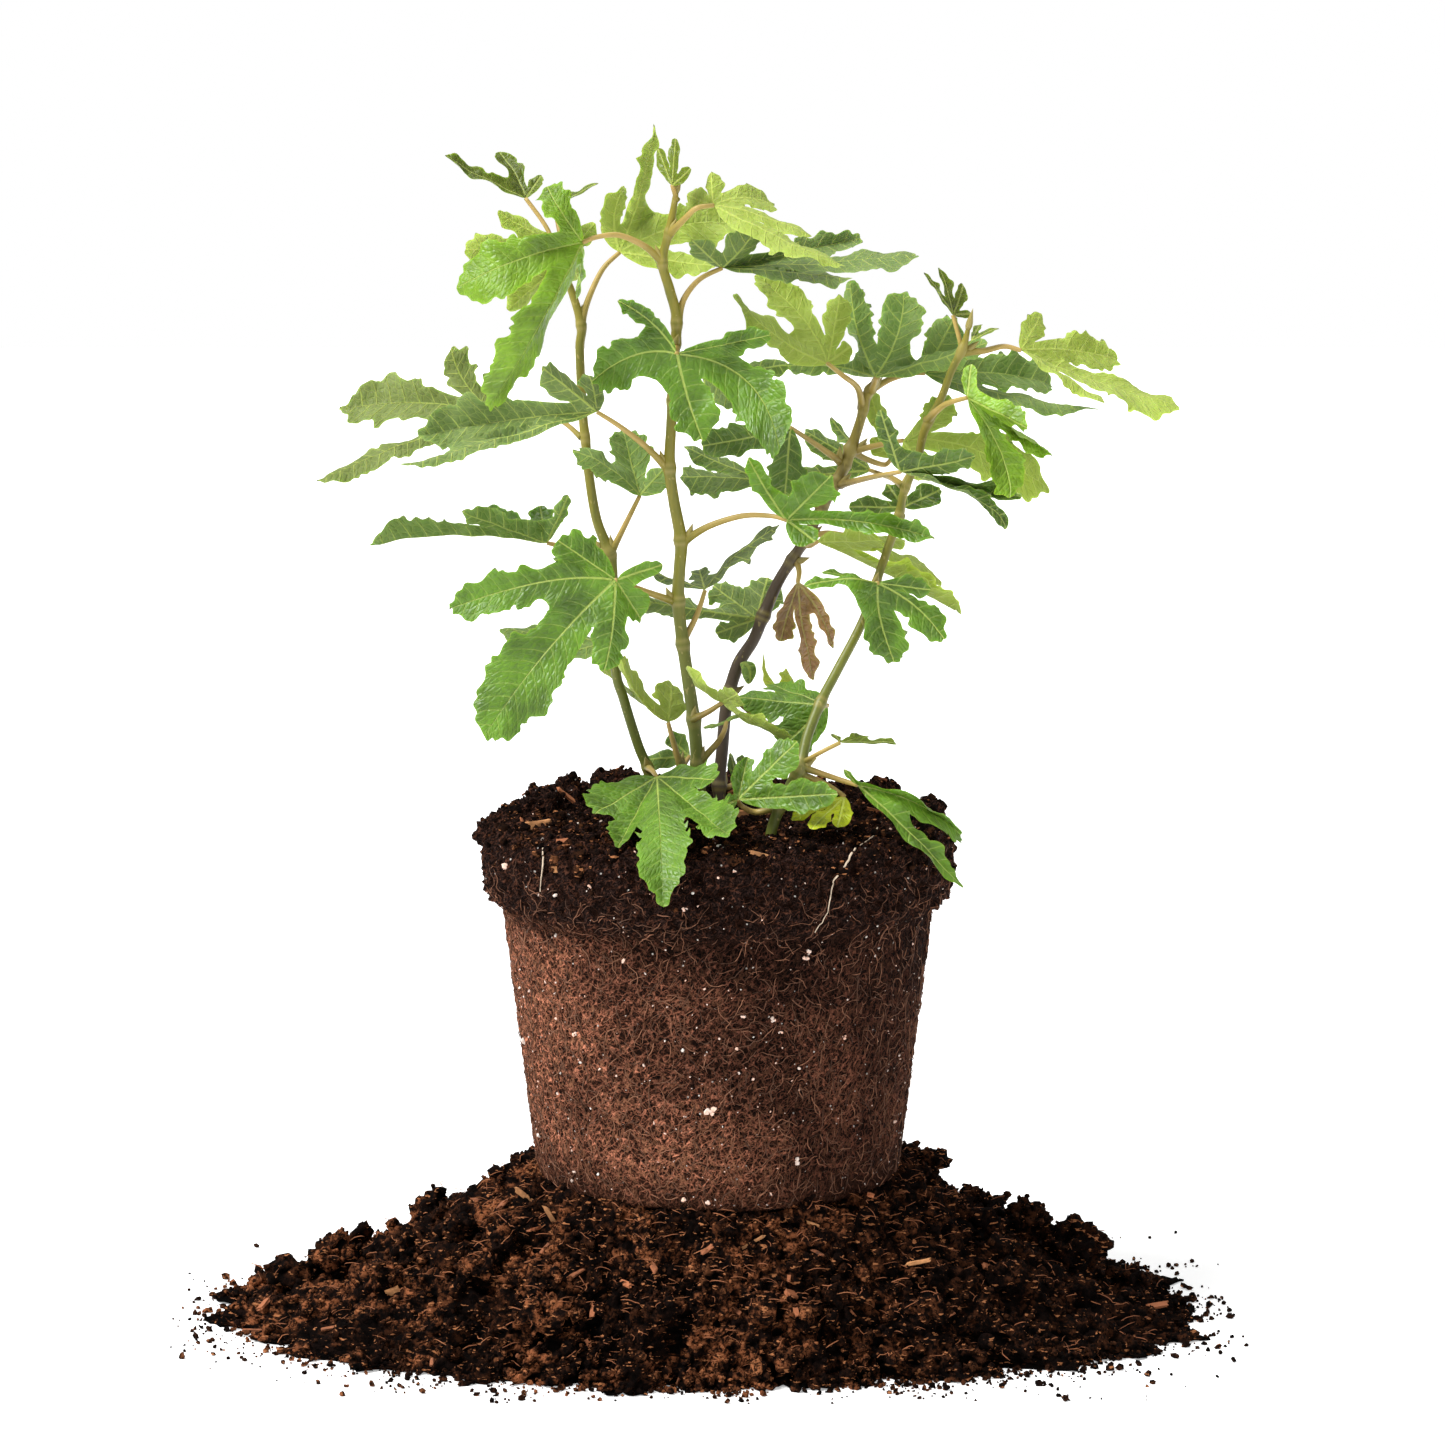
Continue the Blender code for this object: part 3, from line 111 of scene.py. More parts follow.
# Plant sizes
PETIOLE_RADIUS = 1.25
PETIOLE_END_RADIUS = 0.75
YOUNG_SHARE = 0.7
STEM_FOOT = 176.0
STEM_SIDES = 14
PETIOLE_SIDES = 10
STEM_STEPS = 10
STALK_STEPS = 7
THREAD_SIDES = 3
NODE_SWELL = 0.26
NODE_LENGTH = 1.9
NODE_TONE = 0.55
NODE_RING_AT = 1.2
NODE_RING_WIDTH = 0.7
STALK_FOOT_SWELL = 0.45
STALK_FOOT_FADE = 9.0
BUD_RADIUS = 1.25
BUD_LENGTH = 5.2
TIP_LENGTH = 6.5

# A bud's radius along its length, both as shares
BUD_SHAPE = [(0.0, 0.75), (0.15, 1.0), (0.35, 0.95), (0.6, 0.62), (0.82, 0.30), (1.0, 0.06)]

# Where a tooth's tip or valley stands along a lobe longer than this, and its share of the half width
SIDES_OF_LOBES = [
    (38.0, [
        (0.46, 0.70), (0.55, 0.99), (0.62, 0.84), (0.71, 1.08), (0.79, 0.82), (0.88, 0.84), (0.95, 0.46),
    ]),
    (20.0, [(0.50, 0.78), (0.62, 1.04), (0.72, 0.82), (0.85, 0.84), (0.94, 0.46)]),
    (0.0, [(0.60, 1.0), (0.86, 0.70)]),
]
BASAL_EDGE = [(0.10, 0.34), (0.28, 0.66)]
MIDRIB_STEPS = 16
SINUS_SHARE = 0.42
BEYOND_SINUS = 1.04
NARROWEST_SECTOR = math.radians(20.0)
WIDEST_SECTOR = math.radians(110.0)
CUP = 1.5
WAVE = 1.1
WAVES_ALONG_LOBE = 2.4
FULLY_WAVED_LOBE = 45.0
SMALL_TOOTH = 1.5
SMALL_TOOTH_LENGTH = 5.6
TOOTHED_FROM = 0.36
WIDE_LOBE = 7.5
RUFFLE = 1.5
RUFFLE_SPACING = 8.0
SIDE_VEIN_SPACING = 5.2
SIDE_VEIN_SLANT = 0.42
SIDE_VEIN_CURVE = 0.03
SIDE_VEIN_SHIFT = 1.1
SIDE_VEIN_WANDER = 1.8
STATION_SHIFT = 0.015
WIDTH_CHANGE = (0.92, 1.08)
SECTOR_SHARE = 0.93
TOOTHED_OVER = 0.14
PUCKER_START = 1.6
PUCKER_FADE = 2.0
RUFFLE_DEPTH = 3.0
EDGE_TAPER = 0.8
RIM_WIDTH = 2.2
LEAF_TINT = 0.22
LEAF_TINT_SEED = 500

# Spacing of a blade's inner points, as shares of its mesh step
ROW_SPACING = 0.866
CLEAR_OF_EDGE = 0.62
CLEAR_OF_MIDRIB = 0.55
FAR_AWAY = 1e9

# A blade's tone and base point, its lobes, each (tip, half width, optional point on its midrib), and how far
# each cut between two lobes is from the base, as a share of the shorter lobe
Leaf = namedtuple("Leaf", "tone base lobes sinus", defaults=[None])

LEAVES = {
    "leaf_left_1": Leaf("mature", (-39.5, 239.5, 20), [((-54.5, 235, 12), 5), ((-76.5, 244.5, 26), 6)]),
    "leaf_left_2": Leaf("mature", (-27.5, 291, 8), [
        ((-51, 306.5, 2), 7, (-39.5, 301.5, 4)), ((-33.5, 314, 26), 8.5), ((-19.5, 300, 12), 6),
    ], sinus=[0.55, 0.6]),
    "leaf_left_3": Leaf("mature", (-60, 274.5, 16), [
        ((-62.5, 287, 34), 5), ((-84, 287, 36), 5), ((-122, 273.5, 4), 8.5, (-92.5, 277.5, 8)),
        ((-90, 285.5, 6), 5.5), ((-52.5, 291.5, 4), 2.5),
    ]),
    "leaf_left_4": Leaf("young", (-78, 320, 20), [
        ((-140.5, 296, -8), 5.5, (-110, 309, 6)), ((-132.5, 321, 30), 9, (-106.5, 323.5, 26)),
        ((-93.5, 343, 27), 6.5, (-88.5, 330.5, 25)),
    ]),
    "leaf_left_5": Leaf("pale", (-34.5, 376.5, 18), [
        ((-33.5, 399.5, 16), 6, (-36.5, 389.5, 20)), ((-23, 421.5, 34), 3.4, (-27, 399, 26)),
        ((7.5, 386, 36), 9, (-13.5, 385.5, 26)), ((-1, 371, 14), 5),
    ]),
    "leaf_left_6": Leaf("pale", (-52, 376, 34), [
        ((-49, 366.5, 42), 4), ((-73.5, 356.5, 28), 6), ((-89, 377.5, 24), 7), ((-77.5, 390.5, 32), 4),
        ((-43.5, 386.5, 45), 4),
    ]),
    "leaf_left_7": Leaf("young", (-67.5, 395.5, 25), [
        ((-62, 403.5, 36), 2.5), ((-77, 411.5, 42), 4.5, (-71.5, 404.5, 34)),
        ((-96, 410.5, 18), 3.5, (-83, 403, 20)),
    ]),
    "leaf_left_8": Leaf("young", (-57.5, 392.5, 34), [((-42, 401, 36), 2.2), ((-55.5, 396.5, 50), 3)]),
    "leaf_tall_1": Leaf("pale", (-17.5, 211.5, 8), [
        ((-41.5, 230.5, 32), 4), ((-34, 234, 2), 7, (-27.5, 220, 4)), ((-16, 226, 20), 8),
    ]),
    "leaf_tall_2": Leaf("pale", (1.5, 218.5, -20), [
        ((-11, 231.5, -20), 4.5, (-6, 224, -22)), ((7, 221.5, -36), 5),
        ((26, 206.5, -32), 6, (13, 211.5, -30)),
    ]),
    "leaf_tall_3": Leaf("dull", (-4.5, 258, 6), [
        ((-24, 264, 12), 4), ((-6.5, 265, 26), 4), ((21.5, 281, 2), 6.5, (7, 270, 2)),
    ]),
    "leaf_tall_4": Leaf("mature", (-36, 261.5, -24), [
        ((-56.5, 275.5, -22), 9.5), ((-94, 251.5, -28), 7.5, (-60.5, 261, -28)),
        ((-82, 206.5, -42), 14, (-60.5, 236, -34)), ((-40, 229.5, -36), 7, (-37, 244, -32)),
        ((-27, 247.5, -22), 6.5), ((-19.5, 267, -18), 3.2),
    ], sinus=[0.85, 0.44, 0.59, 0.8, 0.42]),
    "leaf_tall_5": Leaf("mature", (24, 282.5, -14), [
        ((34, 275, -22), 5), ((76, 276, -24), 5.5, (50, 282, -18)), ((39.5, 298, -20), 9),
        ((10.5, 304.5, -26), 4, (17, 293, -18)),
    ]),
    "leaf_tall_6": Leaf("dark", (-42.5, 320.5, -6), [
        ((-111.5, 301, -38), 4), ((-105.5, 311.5, -18), 11, (-73, 317.5, -12)), ((-61.5, 336, -14), 7),
        ((-45, 334, 4), 6),
    ], sinus=[0.85, 0.42, 0.42]),
    "leaf_tall_7": Leaf("mature", (-14.5, 341, -10), [
        ((-35, 359.5, -12), 3.6, (-23, 351.5, -8)), ((-44, 331.5, -16), 9.5, (-29, 340.5, -10)),
        ((-5.5, 310.5, -18), 8.5, (-11, 326.5, -12)), ((21.5, 307, -24), 11, (10, 331.5, -8)),
        ((18.5, 347.5, -6), 6, (3.5, 344.5, -8)),
    ], sinus=[0.55, 0.42, 0.45, 0.62]),
    "leaf_tall_8": Leaf("dark", (-5.5, 334, 18), [((25, 336.5, 24), 4), ((9.5, 322.5, 10), 6)]),
    "leaf_tall_9": Leaf("mature", (-47.5, 380, -8), [
        ((-60, 399.5, -4), 7, (-55, 390.5, -14)), ((-91.5, 364, -22), 11.5, (-71.5, 373.5, -24)),
        ((-80.5, 322, -30), 9.5, (-63, 350, -32)), ((-50, 360, 6), 3),
    ]),
    "leaf_tall_10": Leaf("dark", (1.5, 371, 8), [
        ((-9, 381, 2), 4.5), ((13.5, 385, 2), 7, (8.5, 378, 2)), ((50.5, 381.5, 26), 6),
        ((70, 376, 4), 10, (37.5, 372.5, 8)), ((47, 367, -10), 6),
    ]),
    "leaf_tall_11": Leaf("pale", (-1.5, 393, -8), [
        ((-10.5, 396.5, 8), 4), ((-2.5, 405.5, 0), 4.5), ((20, 393, 6), 7, (9.5, 395.5, -2)),
        ((33, 382, -12), 5, (16.5, 389, -10)), ((44.5, 371.5, -30), 7, (20, 382, -20)),
    ]),
    "leaf_tall_12": Leaf("young", (-16, 400, -5), [
        ((-9, 406, -11), 2.8), ((-14.5, 416.5, -1), 3.2), ((-21, 413, 3), 2.6),
    ]),
    "leaf_woody_1": Leaf("mature", (8, 232.5, 19), [((11, 225, 14), 2.2, (11, 230.5, 16))]),
    "leaf_woody_2": Leaf("dark", (13.5, 248, 31), [
        ((-0.5, 243, 30), 6), ((-28.5, 254.5, 18), 5.5, (-6.5, 251, 26)), ((-2, 259.5, 38), 7),
        ((17.5, 262.5, 44), 7.5),
    ], sinus=[0.6, 0.7, 0.7]),
    "leaf_woody_3": Leaf("dead", (28, 260.5, 20), [
        ((21.5, 240, 14), 5.5), ((34, 226.5, 22), 4.2, (30, 243.5, 20)),
        ((40.5, 237.5, 30), 3, (35, 250.5, 26)),
    ]),
    "leaf_woody_4": Leaf("pale", (44, 277.5, 22), [
        ((65.5, 274.5, 40), 5), ((78.5, 260.5, 26), 8, (63, 270.5, 24)),
    ]),
    "leaf_woody_5": Leaf("pale", (35, 275, 6), [
        ((57, 275.5, -14), 7), ((85.5, 249.5, -4), 7.5, (60.5, 263.5, 0)), ((58.5, 274, 12), 6),
    ]),
    "leaf_woody_6": Leaf("dark", (16.5, 296, 14), [
        ((-13.5, 297.5, 6), 9, (1.5, 297.5, 12)), ((-12, 308, 20), 5),
    ]),
    "leaf_woody_7": Leaf("dark", (64, 299.5, -18), [
        ((101.5, 279.5, -26), 4.8, (89, 291, -22)), ((106, 291, -10), 7, (85, 294, -14)),
        ((90, 304.5, -26), 6), ((57, 321, -24), 4),
    ]),
    "leaf_woody_8": Leaf("dark", (25.5, 315, 2), [
        ((-6, 308.5, 8), 6, (11, 311.5, 6)), ((23.5, 290.5, -2), 7),
    ]),
    "leaf_woody_9": Leaf("pale", (65, 310.5, 12), [
        ((81.5, 325.5, 20), 7, (74.5, 316, 14)), ((116.5, 293.5, 14), 9.5, (88, 308, 14)),
        ((74.5, 296.5, 4), 5),
    ]),
    "leaf_woody_10": Leaf("pale", (61, 304.5, 32), [((54, 311.5, 31), 4), ((52.5, 329, 34), 4)]),
    "leaf_woody_11": Leaf("pale", (38.5, 337.5, 16), [
        ((5, 361, 6), 7, (22, 345.5, 10)), ((13.5, 368, 30), 7.5, (30, 353, 24)), ((43, 361.5, 26), 6),
        ((46.5, 343.5, 20), 4),
    ]),
    "leaf_woody_12": Leaf("mature", (72.5, 334, 20), [
        ((83, 353.5, 28), 7), ((117.5, 329.5, 36), 9, (95.5, 334, 26)),
        ((134, 322, 4), 7.5, (106.5, 325, 10)),
    ]),
    "leaf_woody_13": Leaf("mature", (55.5, 332.5, 17), [
        ((23, 336.5, 44), 3.5, (41, 336.5, 34)), ((46.5, 367, 34), 6.5, (49, 349, 28)),
        ((65.5, 362.5, 34), 9, (63, 347, 28)), ((95, 344.5, 4), 4.6, (74.5, 338, 10)),
    ]),
    "leaf_right_1": Leaf("dull", (7, 184.5, -46), [
        ((42, 186.5, -60), 5.5), ((27.5, 204.5, -50), 8), ((10.5, 199.5, -40), 5.5), ((1.5, 182, -50), 4.5),
    ], sinus=[0.5, 0.6, 0.5]),
    "leaf_right_2": Leaf("yellow", (44.5, 185.5, -38), [
        ((26, 178, -50), 5), ((33, 174.5, -58), 4), ((42, 175, -54), 4),
    ]),
    "leaf_right_3": Leaf("mature", (49, 189.5, -44), [
        ((85.5, 153.5, -52), 4.6, (68, 172.5, -50)), ((86, 171.5, -28), 8.5, (70, 183, -38)),
        ((44.5, 195, -50), 1.6),
    ]),
    "leaf_right_4": Leaf("young", (43, 204.5, -44), [
        ((63, 204.5, -50), 3), ((52.5, 206.5, -26), 3), ((40.5, 207.5, -36), 2),
    ]),
    "leaf_right_5": Leaf("mature", (38.5, 217.5, -16), [
        ((17.5, 225, 2), 7), ((7, 220.5, -8), 7), ((22, 202.5, -12), 8.5),
    ], sinus=[0.7, 0.7]),
    "leaf_woody_14": Leaf("yellow", (31.5, 211, 8), [
        ((16, 236.5, 16), 1.6, (18.5, 226.5, 12)), ((24, 230.5, 20), 6), ((30.5, 222, 28), 5),
    ]),
    "leaf_right_7": Leaf("mature", (56, 260.5, -28), [
        ((36.5, 265, -26), 5), ((30, 259, -36), 2.6, (43.5, 262, -34)),
        ((62, 232.5, -33), 8, (57, 247, -30)), ((79.5, 240.5, -29), 6.5, (69, 252.5, -26)),
        ((74.5, 258, -22), 5),
    ]),
    "leaf_right_8": Leaf("dark", (65, 287, 5), [
        ((78, 293, 11), 5), ((59.5, 295, 10), 4), ((46, 287, 4), 4),
    ]),
    "leaf_right_9": Leaf("dark", (53.5, 300, 38), [
        ((23.5, 297.5, 34), 4), ((30.5, 314, 40), 6), ((39.5, 318.5, 50), 3),
    ]),
    "leaf_right_10": Leaf("mature", (87.5, 325.5, -26), [
        ((102.5, 290.5, -34), 8, (99, 307, -24)), ((117.5, 305.5, -16), 5.5), ((108.5, 315, -40), 6),
        ((89, 337.5, -20), 3),
    ]),
    "leaf_right_11": Leaf("pale", (106.5, 342, -10), [
        ((113.5, 355, 0), 5, (110, 348.5, -4)), ((140.5, 338.5, 8), 7.5, (123.5, 342, 0)),
        ((162, 322.5, -16), 12, (133.5, 330.5, -8)), ((136, 324, -26), 4),
    ]),
    "leaf_right_12": Leaf("young", (82.5, 354.5, -8), [
        ((89, 355, -2), 1.6), ((86.5, 365.5, 2), 2.6), ((78, 371.5, -6), 3), ((72.5, 369.5, -20), 2),
    ]),
    "leaf_right_13": Leaf("young", (89, 345.5, -16), [((98.5, 350, -9), 1.9), ((92.5, 351.5, -1), 1.6)]),
    "leaf_low_1": Leaf("mature", (-21.5, 192.5, -18), [
        ((-43, 179.5, -50), 11), ((-35, 168, -68), 8), ((-19, 146.5, -92), 11.5, (-20.5, 176.5, -66)),
        ((4, 171.5, -78), 10), ((-1, 191.5, -40), 8),
    ], sinus=[0.95, 0.9, 0.73, 0.8]),
    "leaf_low_2": Leaf("mature", (-10, 199.5, 20), [((-25.5, 198.5, 28), 4), ((-17.5, 207, 28), 4)]),
    "leaf_low_3": Leaf("dark", (6.5, 191, 34), [((4, 200.5, 33), 3), ((9.5, 199.5, 43), 3.5)]),
    "leaf_low_4": Leaf("mature", (3, 211.5, 10), [((-5, 209.5, 7), 3.2), ((7.5, 215, 18), 3)]),
}

# Way of each leaf's stalk, from inside the stem to its last bend before the blade
PETIOLES = {
    "stem_left": [
        ("leaf_left_1", [(-37, 238.5, 16), (-38.5, 239.5, 18)]),
        ("leaf_left_2", [(-37.5, 271, 15), (-32.5, 281, 12)]),
        ("leaf_left_3", [(-39.5, 272, 15), (-50, 272.5, 17)]),
        ("leaf_left_4", [(-48, 311.5, 14), (-55.5, 317.5, 18), (-67.5, 320, 21)]),
        ("leaf_left_5", [(-48, 351.5, 13), (-45.5, 360, 14), (-40.5, 370.5, 16)]),
        ("leaf_left_6", [(-54.5, 370.5, 13), (-53, 373, 22)]),
        ("leaf_left_7", [(-56.5, 373, 13), (-59.5, 384, 20)]),
        ("leaf_left_8", [(-55, 371.5, 13), (-55.5, 382.5, 26)]),
        ("leaf_low_1", [(-24.5, 195.5, 19), (-23, 194.5, 0)]),
    ],
    "stem_tall": [
        ("leaf_tall_2", [(-9, 212.5, 1), (-3, 215.5, -12)]),
        ("leaf_tall_3", [(-12.5, 239.5, 1), (-7.5, 249, 4)]),
        ("leaf_tall_4", [(-15.5, 254, 1), (-25.5, 257.5, -9), (-34.5, 261, -16)]),
        ("leaf_tall_5", [(-11.5, 275.5, 0), (-3, 280.5, -4), (8.5, 284, -7), (18.5, 284, -9)]),
        ("leaf_tall_6", [(-18, 301, 0), (-25.5, 308.5, -4), (-34.5, 315.5, -6)]),
        ("leaf_tall_7", [(-15, 344.5, 0), (-14.5, 342, -4)]),
        ("leaf_tall_8", [(-16, 324.5, 0), (-11, 330.5, 12)]),
        ("leaf_tall_9", [(-19.5, 373, 0), (-25.5, 378.5, -2), (-34.5, 382.5, -6), (-42, 382, -8)]),
        ("leaf_tall_10", [(-14, 352, 0), (-12, 360, 2), (-6.5, 367, 6)]),
        ("leaf_tall_11", [(-17, 383, 0), (-12, 388, -6), (-7.5, 392, -10)]),
        ("leaf_tall_12", [(-14.5, 395, 0)]),
        ("leaf_low_4", [(-7, 197, 2), (-0.5, 204, 3), (2, 208, 3)]),
    ],
    "stem_woody": [
        ("leaf_woody_2", [(16, 248.5, 24), (15, 248, 27)]),
        ("leaf_woody_3", [(27.5, 268.5, 25), (28.5, 264.5, 22)]),
        ("leaf_woody_4", [(31.5, 276.5, 26), (38, 278, 25)]),
        ("leaf_woody_5", [(31, 275, 26), (32, 273.5, 15)]),
        ("leaf_woody_6", [(36.5, 287, 27), (27, 291.5, 22)]),
        ("leaf_woody_7", [(43, 295, 26), (53.5, 297.5, 8)]),
        ("leaf_woody_8", [(43, 303, 27), (34.5, 309, 14)]),
        ("leaf_woody_9", [(48.5, 307, 27), (57, 309, 20)]),
        ("leaf_woody_10", [(47.5, 306.5, 27), (52, 304, 31), (58.5, 302, 35)]),
        ("leaf_woody_11", [(50.5, 322, 26), (49, 329, 18), (43.5, 333.5, 9)]),
        ("leaf_woody_12", [(53.5, 328, 25), (60.5, 332, 27), (68, 334, 23)]),
        ("leaf_woody_13", [(54, 328, 23)]),
        ("leaf_woody_14", [(4, 222, 21), (16.5, 211.5, 22), (28.5, 206.5, 13)]),
        ("leaf_low_3", [(1.5, 189, 18), (4, 189, 25)]),
    ],
    "stem_right": [
        ("leaf_right_1", [(22, 182, -41), (13.5, 180, -37), (8.5, 182, -40)]),
        ("leaf_right_2", [(27.5, 194, -40), (37.5, 190, -34)]),
        ("leaf_right_3", [(29, 196, -40), (39.5, 192.5, -40)]),
        ("leaf_right_4", [(30, 197.5, -39), (36, 201, -44)]),
        ("leaf_right_5", [(35.5, 218.5, -26), (37, 217.5, -21)]),
        ("leaf_right_7", [(54.5, 259.5, -13), (55.5, 260, -20)]),
        ("leaf_right_8", [(64, 284, -8), (64.5, 285.5, 0)]),
        ("leaf_right_9", [(65.5, 294, -8), (61.5, 297, 10), (57.5, 298.5, 28)]),
        ("leaf_right_10", [(73.5, 317.5, -9), (79.5, 323, -20)]),
        ("leaf_right_11", [(86.5, 341.5, -10), (93.5, 342, -10), (100.5, 343.5, -10)]),
        ("leaf_right_12", [(85.5, 343.5, -10), (84, 349, -9)]),
    ],
    "shoot_low": [
        ("leaf_tall_1", [(-13, 195.5, 10), (-15.5, 204, 9)]),
        ("leaf_low_2", [(-13, 195.5, 10)]),
    ],
}

# Middle line and radius of each stem, from the soil up
STEMS = {
    "stem_left": [
        ((-24, 188, 20), 1.9), ((-24.5, 195, 20), 1.85), ((-28, 203.5, 19), 1.8), ((-33, 219.5, 17), 1.8),
        ((-36, 231.5, 16), 1.8), ((-37, 265, 15), 1.8), ((-38.5, 272, 15), 1.9), ((-42.5, 282.5, 15), 1.75),
        ((-45, 296.5, 14), 1.7), ((-46.5, 310.5, 14), 1.7), ((-47.5, 321, 14), 1.6),
        ((-48.5, 342, 13), 1.6), ((-48, 351, 13), 1.6), ((-52, 364.5, 13), 1.3), ((-56, 373, 13), 0.9),
    ],
    "stem_tall": [
        ((-6.5, 188, 4), 2.3), ((-7, 195.5, 3), 2.3), ((-8.5, 212.5, 2), 2.3), ((-10.5, 226.5, 1), 2.2),
        ((-12.5, 240.5, 1), 2.2), ((-14, 254.5, 1), 2.2), ((-13.5, 265, 0), 2.1), ((-13, 275.5, 0), 2.2),
        ((-15.5, 289.5, 0), 2), ((-17, 301, 0), 2), ((-16.5, 314, 0), 1.8), ((-16, 324.5, 0), 1.8),
        ((-15.5, 338.5, 0), 1.8), ((-14.5, 353, 0), 1.8), ((-17, 363.5, 0), 1.8), ((-19.5, 373, 0), 1.6),
        ((-17.5, 382.5, 0), 1.4), ((-16, 389.5, 0), 1.3), ((-14.5, 398.5, 0), 0.7),
    ],
    "stem_woody": [
        ((0.5, 184.5, 17), 2.2), ((0.5, 191.5, 18), 2.2), ((1.5, 202, 19), 2.2), ((3, 217.5, 21), 2.2),
        ((7, 231.5, 22), 2.3), ((12.5, 240.5, 23), 2.1), ((16, 249, 24), 2.2), ((21.5, 261.5, 25), 2),
        ((30.5, 275.5, 26), 1.9), ((36, 286, 27), 1.9), ((43, 298.5, 27), 2), ((46.5, 307, 27), 1.9),
        ((50, 317.5, 26), 1.7), ((52.5, 326.5, 25), 1.5), ((55, 331, 22), 1.1),
    ],
    "stem_right": [
        ((18.5, 172, -42), 1.9), ((21, 180, -41), 1.9), ((25.5, 189.5, -40), 1.9), ((29, 196.5, -39), 1.9),
        ((31.5, 207, -34), 1.8), ((36.5, 219.5, -27), 1.8), ((42, 230, -21), 1.7), ((51, 247.5, -15), 1.6),
        ((57, 265, -11), 1.5), ((63, 282.5, -8), 1.5), ((65.5, 293, -8), 1.4), ((70, 303.5, -8), 1.4),
        ((72.5, 314, -9), 1.5), ((78, 324.5, -9), 1.4), ((82, 335, -10), 1.3), ((86, 343, -11), 1.4),
        ((88, 350.5, -12), 0.6),
    ],
    "shoot_low": [
        ((-12.5, 188, 11), 1.2), ((-13, 195.5, 10), 1.2),
    ],
}


# Sizes and colours that a user would change


def colour(name, description, red, green, blue):
    return FloatVectorProperty(
        name=name, description=description, subtype="COLOR", size=3, min=0.0, max=1.0,
        default=(red, green, blue),
    )


def length(name, description, millimetres):
    return FloatProperty(name=name, description=description, unit="LENGTH", default=millimetres * MM)


def amount(name, description, number):
    return IntProperty(name=name, description=description, default=number, min=0)


def power(name, description, number):
    return FloatProperty(name=name, description=description, default=number, min=0.0)


class FigLeafSettings(bpy.types.PropertyGroup):
    step: length("Leaf mesh step", "Distance between the points inside a blade", 1.25)
    edge_step: length("Leaf edge step", "Distance between the points of a blade's edge", 0.7)
    thickness: length("Leaf thickness", "Thickness of a blade", 0.45)
    pucker: length("Pucker", "How far a blade rises between its side veins", 0.42)
    mature: colour("Mature leaf", "Lit upper side of a full-grown leaf", 0.096, 0.200, 0.010)
    # This tone is a green leaf's upper side with painted light on it
    bright: colour("Bright leaf", "Fresh green upper side", 0.170, 0.310, 0.012)
    dark: colour("Dark leaf", "Shaded full-grown leaf", 0.092, 0.168, 0.020)
    dull: colour("Dull leaf", "Grey-green underside", 0.026, 0.062, 0.004)
    pale: colour("Pale leaf", "Thin leaf with light coming through", 0.350, 0.455, 0.032)
    young: colour("Young leaf", "Small folded leaf at a stem's tip", 0.100, 0.140, 0.003)
    yellow: colour("Yellow leaf", "Ageing leaf", 0.420, 0.500, 0.006)
    dead: colour("Dead leaf", "Dry curled leaf", 0.270, 0.145, 0.050)
    veins: colour("Veins", "Midribs, side veins and their net", 0.560, 0.640, 0.150)


class FigStemSettings(bpy.types.PropertyGroup):
    olive: colour("Green stem", "Smooth young stem", 0.230, 0.195, 0.018)
    old_green: colour("Stem foot", "Lower part of a green stem", 0.125, 0.150, 0.016)
    bark: colour("Bark", "Woody stem", 0.085, 0.058, 0.036)
    stalk: colour("Leaf stalk", "Leaf stalk in the light", 0.450, 0.310, 0.090)
    bud: colour("Bud", "Buds and stem tips", 0.330, 0.270, 0.080)


class FigBallSettings(bpy.types.PropertyGroup):
    perlite: amount("Perlite grains", "White grains in the ball", 1000)
    roots: amount("Fine roots", "Roots on the ball's side", 3800)
    crumbs: amount("Top crumbs", "Crumbs on the ball's top", 3400)
    side: colour("Root mat", "Matted roots and soil", 0.400, 0.150, 0.085)
    rim: colour("Rim", "Darker soil of the rim and top", 0.035, 0.0175, 0.0135)
    root: colour("Fine root", "Thin brown root", 0.330, 0.140, 0.074)
    white: colour("Perlite", "White grain", 0.780, 0.740, 0.680)
    pale_root: colour("Pale root", "Thicker cream root", 0.760, 0.600, 0.440)


class FigHeapSettings(bpy.types.PropertyGroup):
    crumbs: amount("Crumbs", "Crumbs on the heap", 10800)
    fibres: amount("Fibres", "Fibres on the heap", 2000)
    chips: amount("Bark chips", "Chips of bark on the heap", 70)
    soil: colour("Loose soil", "Dark moist soil", 0.011, 0.005, 0.0035)
    brown: colour("Brown crumbs", "Drier crumbs and bark", 0.400, 0.136, 0.055)
    fibre: colour("Fibre", "Pale fibres", 0.480, 0.190, 0.078)


class FigStageSettings(bpy.types.PropertyGroup):
    floor: colour("Floor", "Plain pale floor", 0.900, 0.900, 0.900)
    key: power("Key light", "Strength of the main light", 4.7)
    fill: power("Fill light", "Strength of the fill light", 0.75)
    top: power("Top light", "Strength of the light above", 1.2)
    sky: power("Room light", "Strength of the light all round", 0.28)
    floor_light: power("Floor light", "Light that the floor gives off", 0.34)


# Making pieces


def deselect():
    bpy.ops.object.select_all(action="DESELECT")


def make_active(obj):
    deselect()
    obj.select_set(True)
    bpy.context.view_layer.objects.active = obj


@contextmanager
def editing():
    """Edit mode, with all of the active mesh selected."""
    bpy.ops.object.mode_set(mode="EDIT")
    bpy.ops.mesh.select_all(action="SELECT")
    yield
    bpy.ops.object.mode_set(mode="OBJECT")


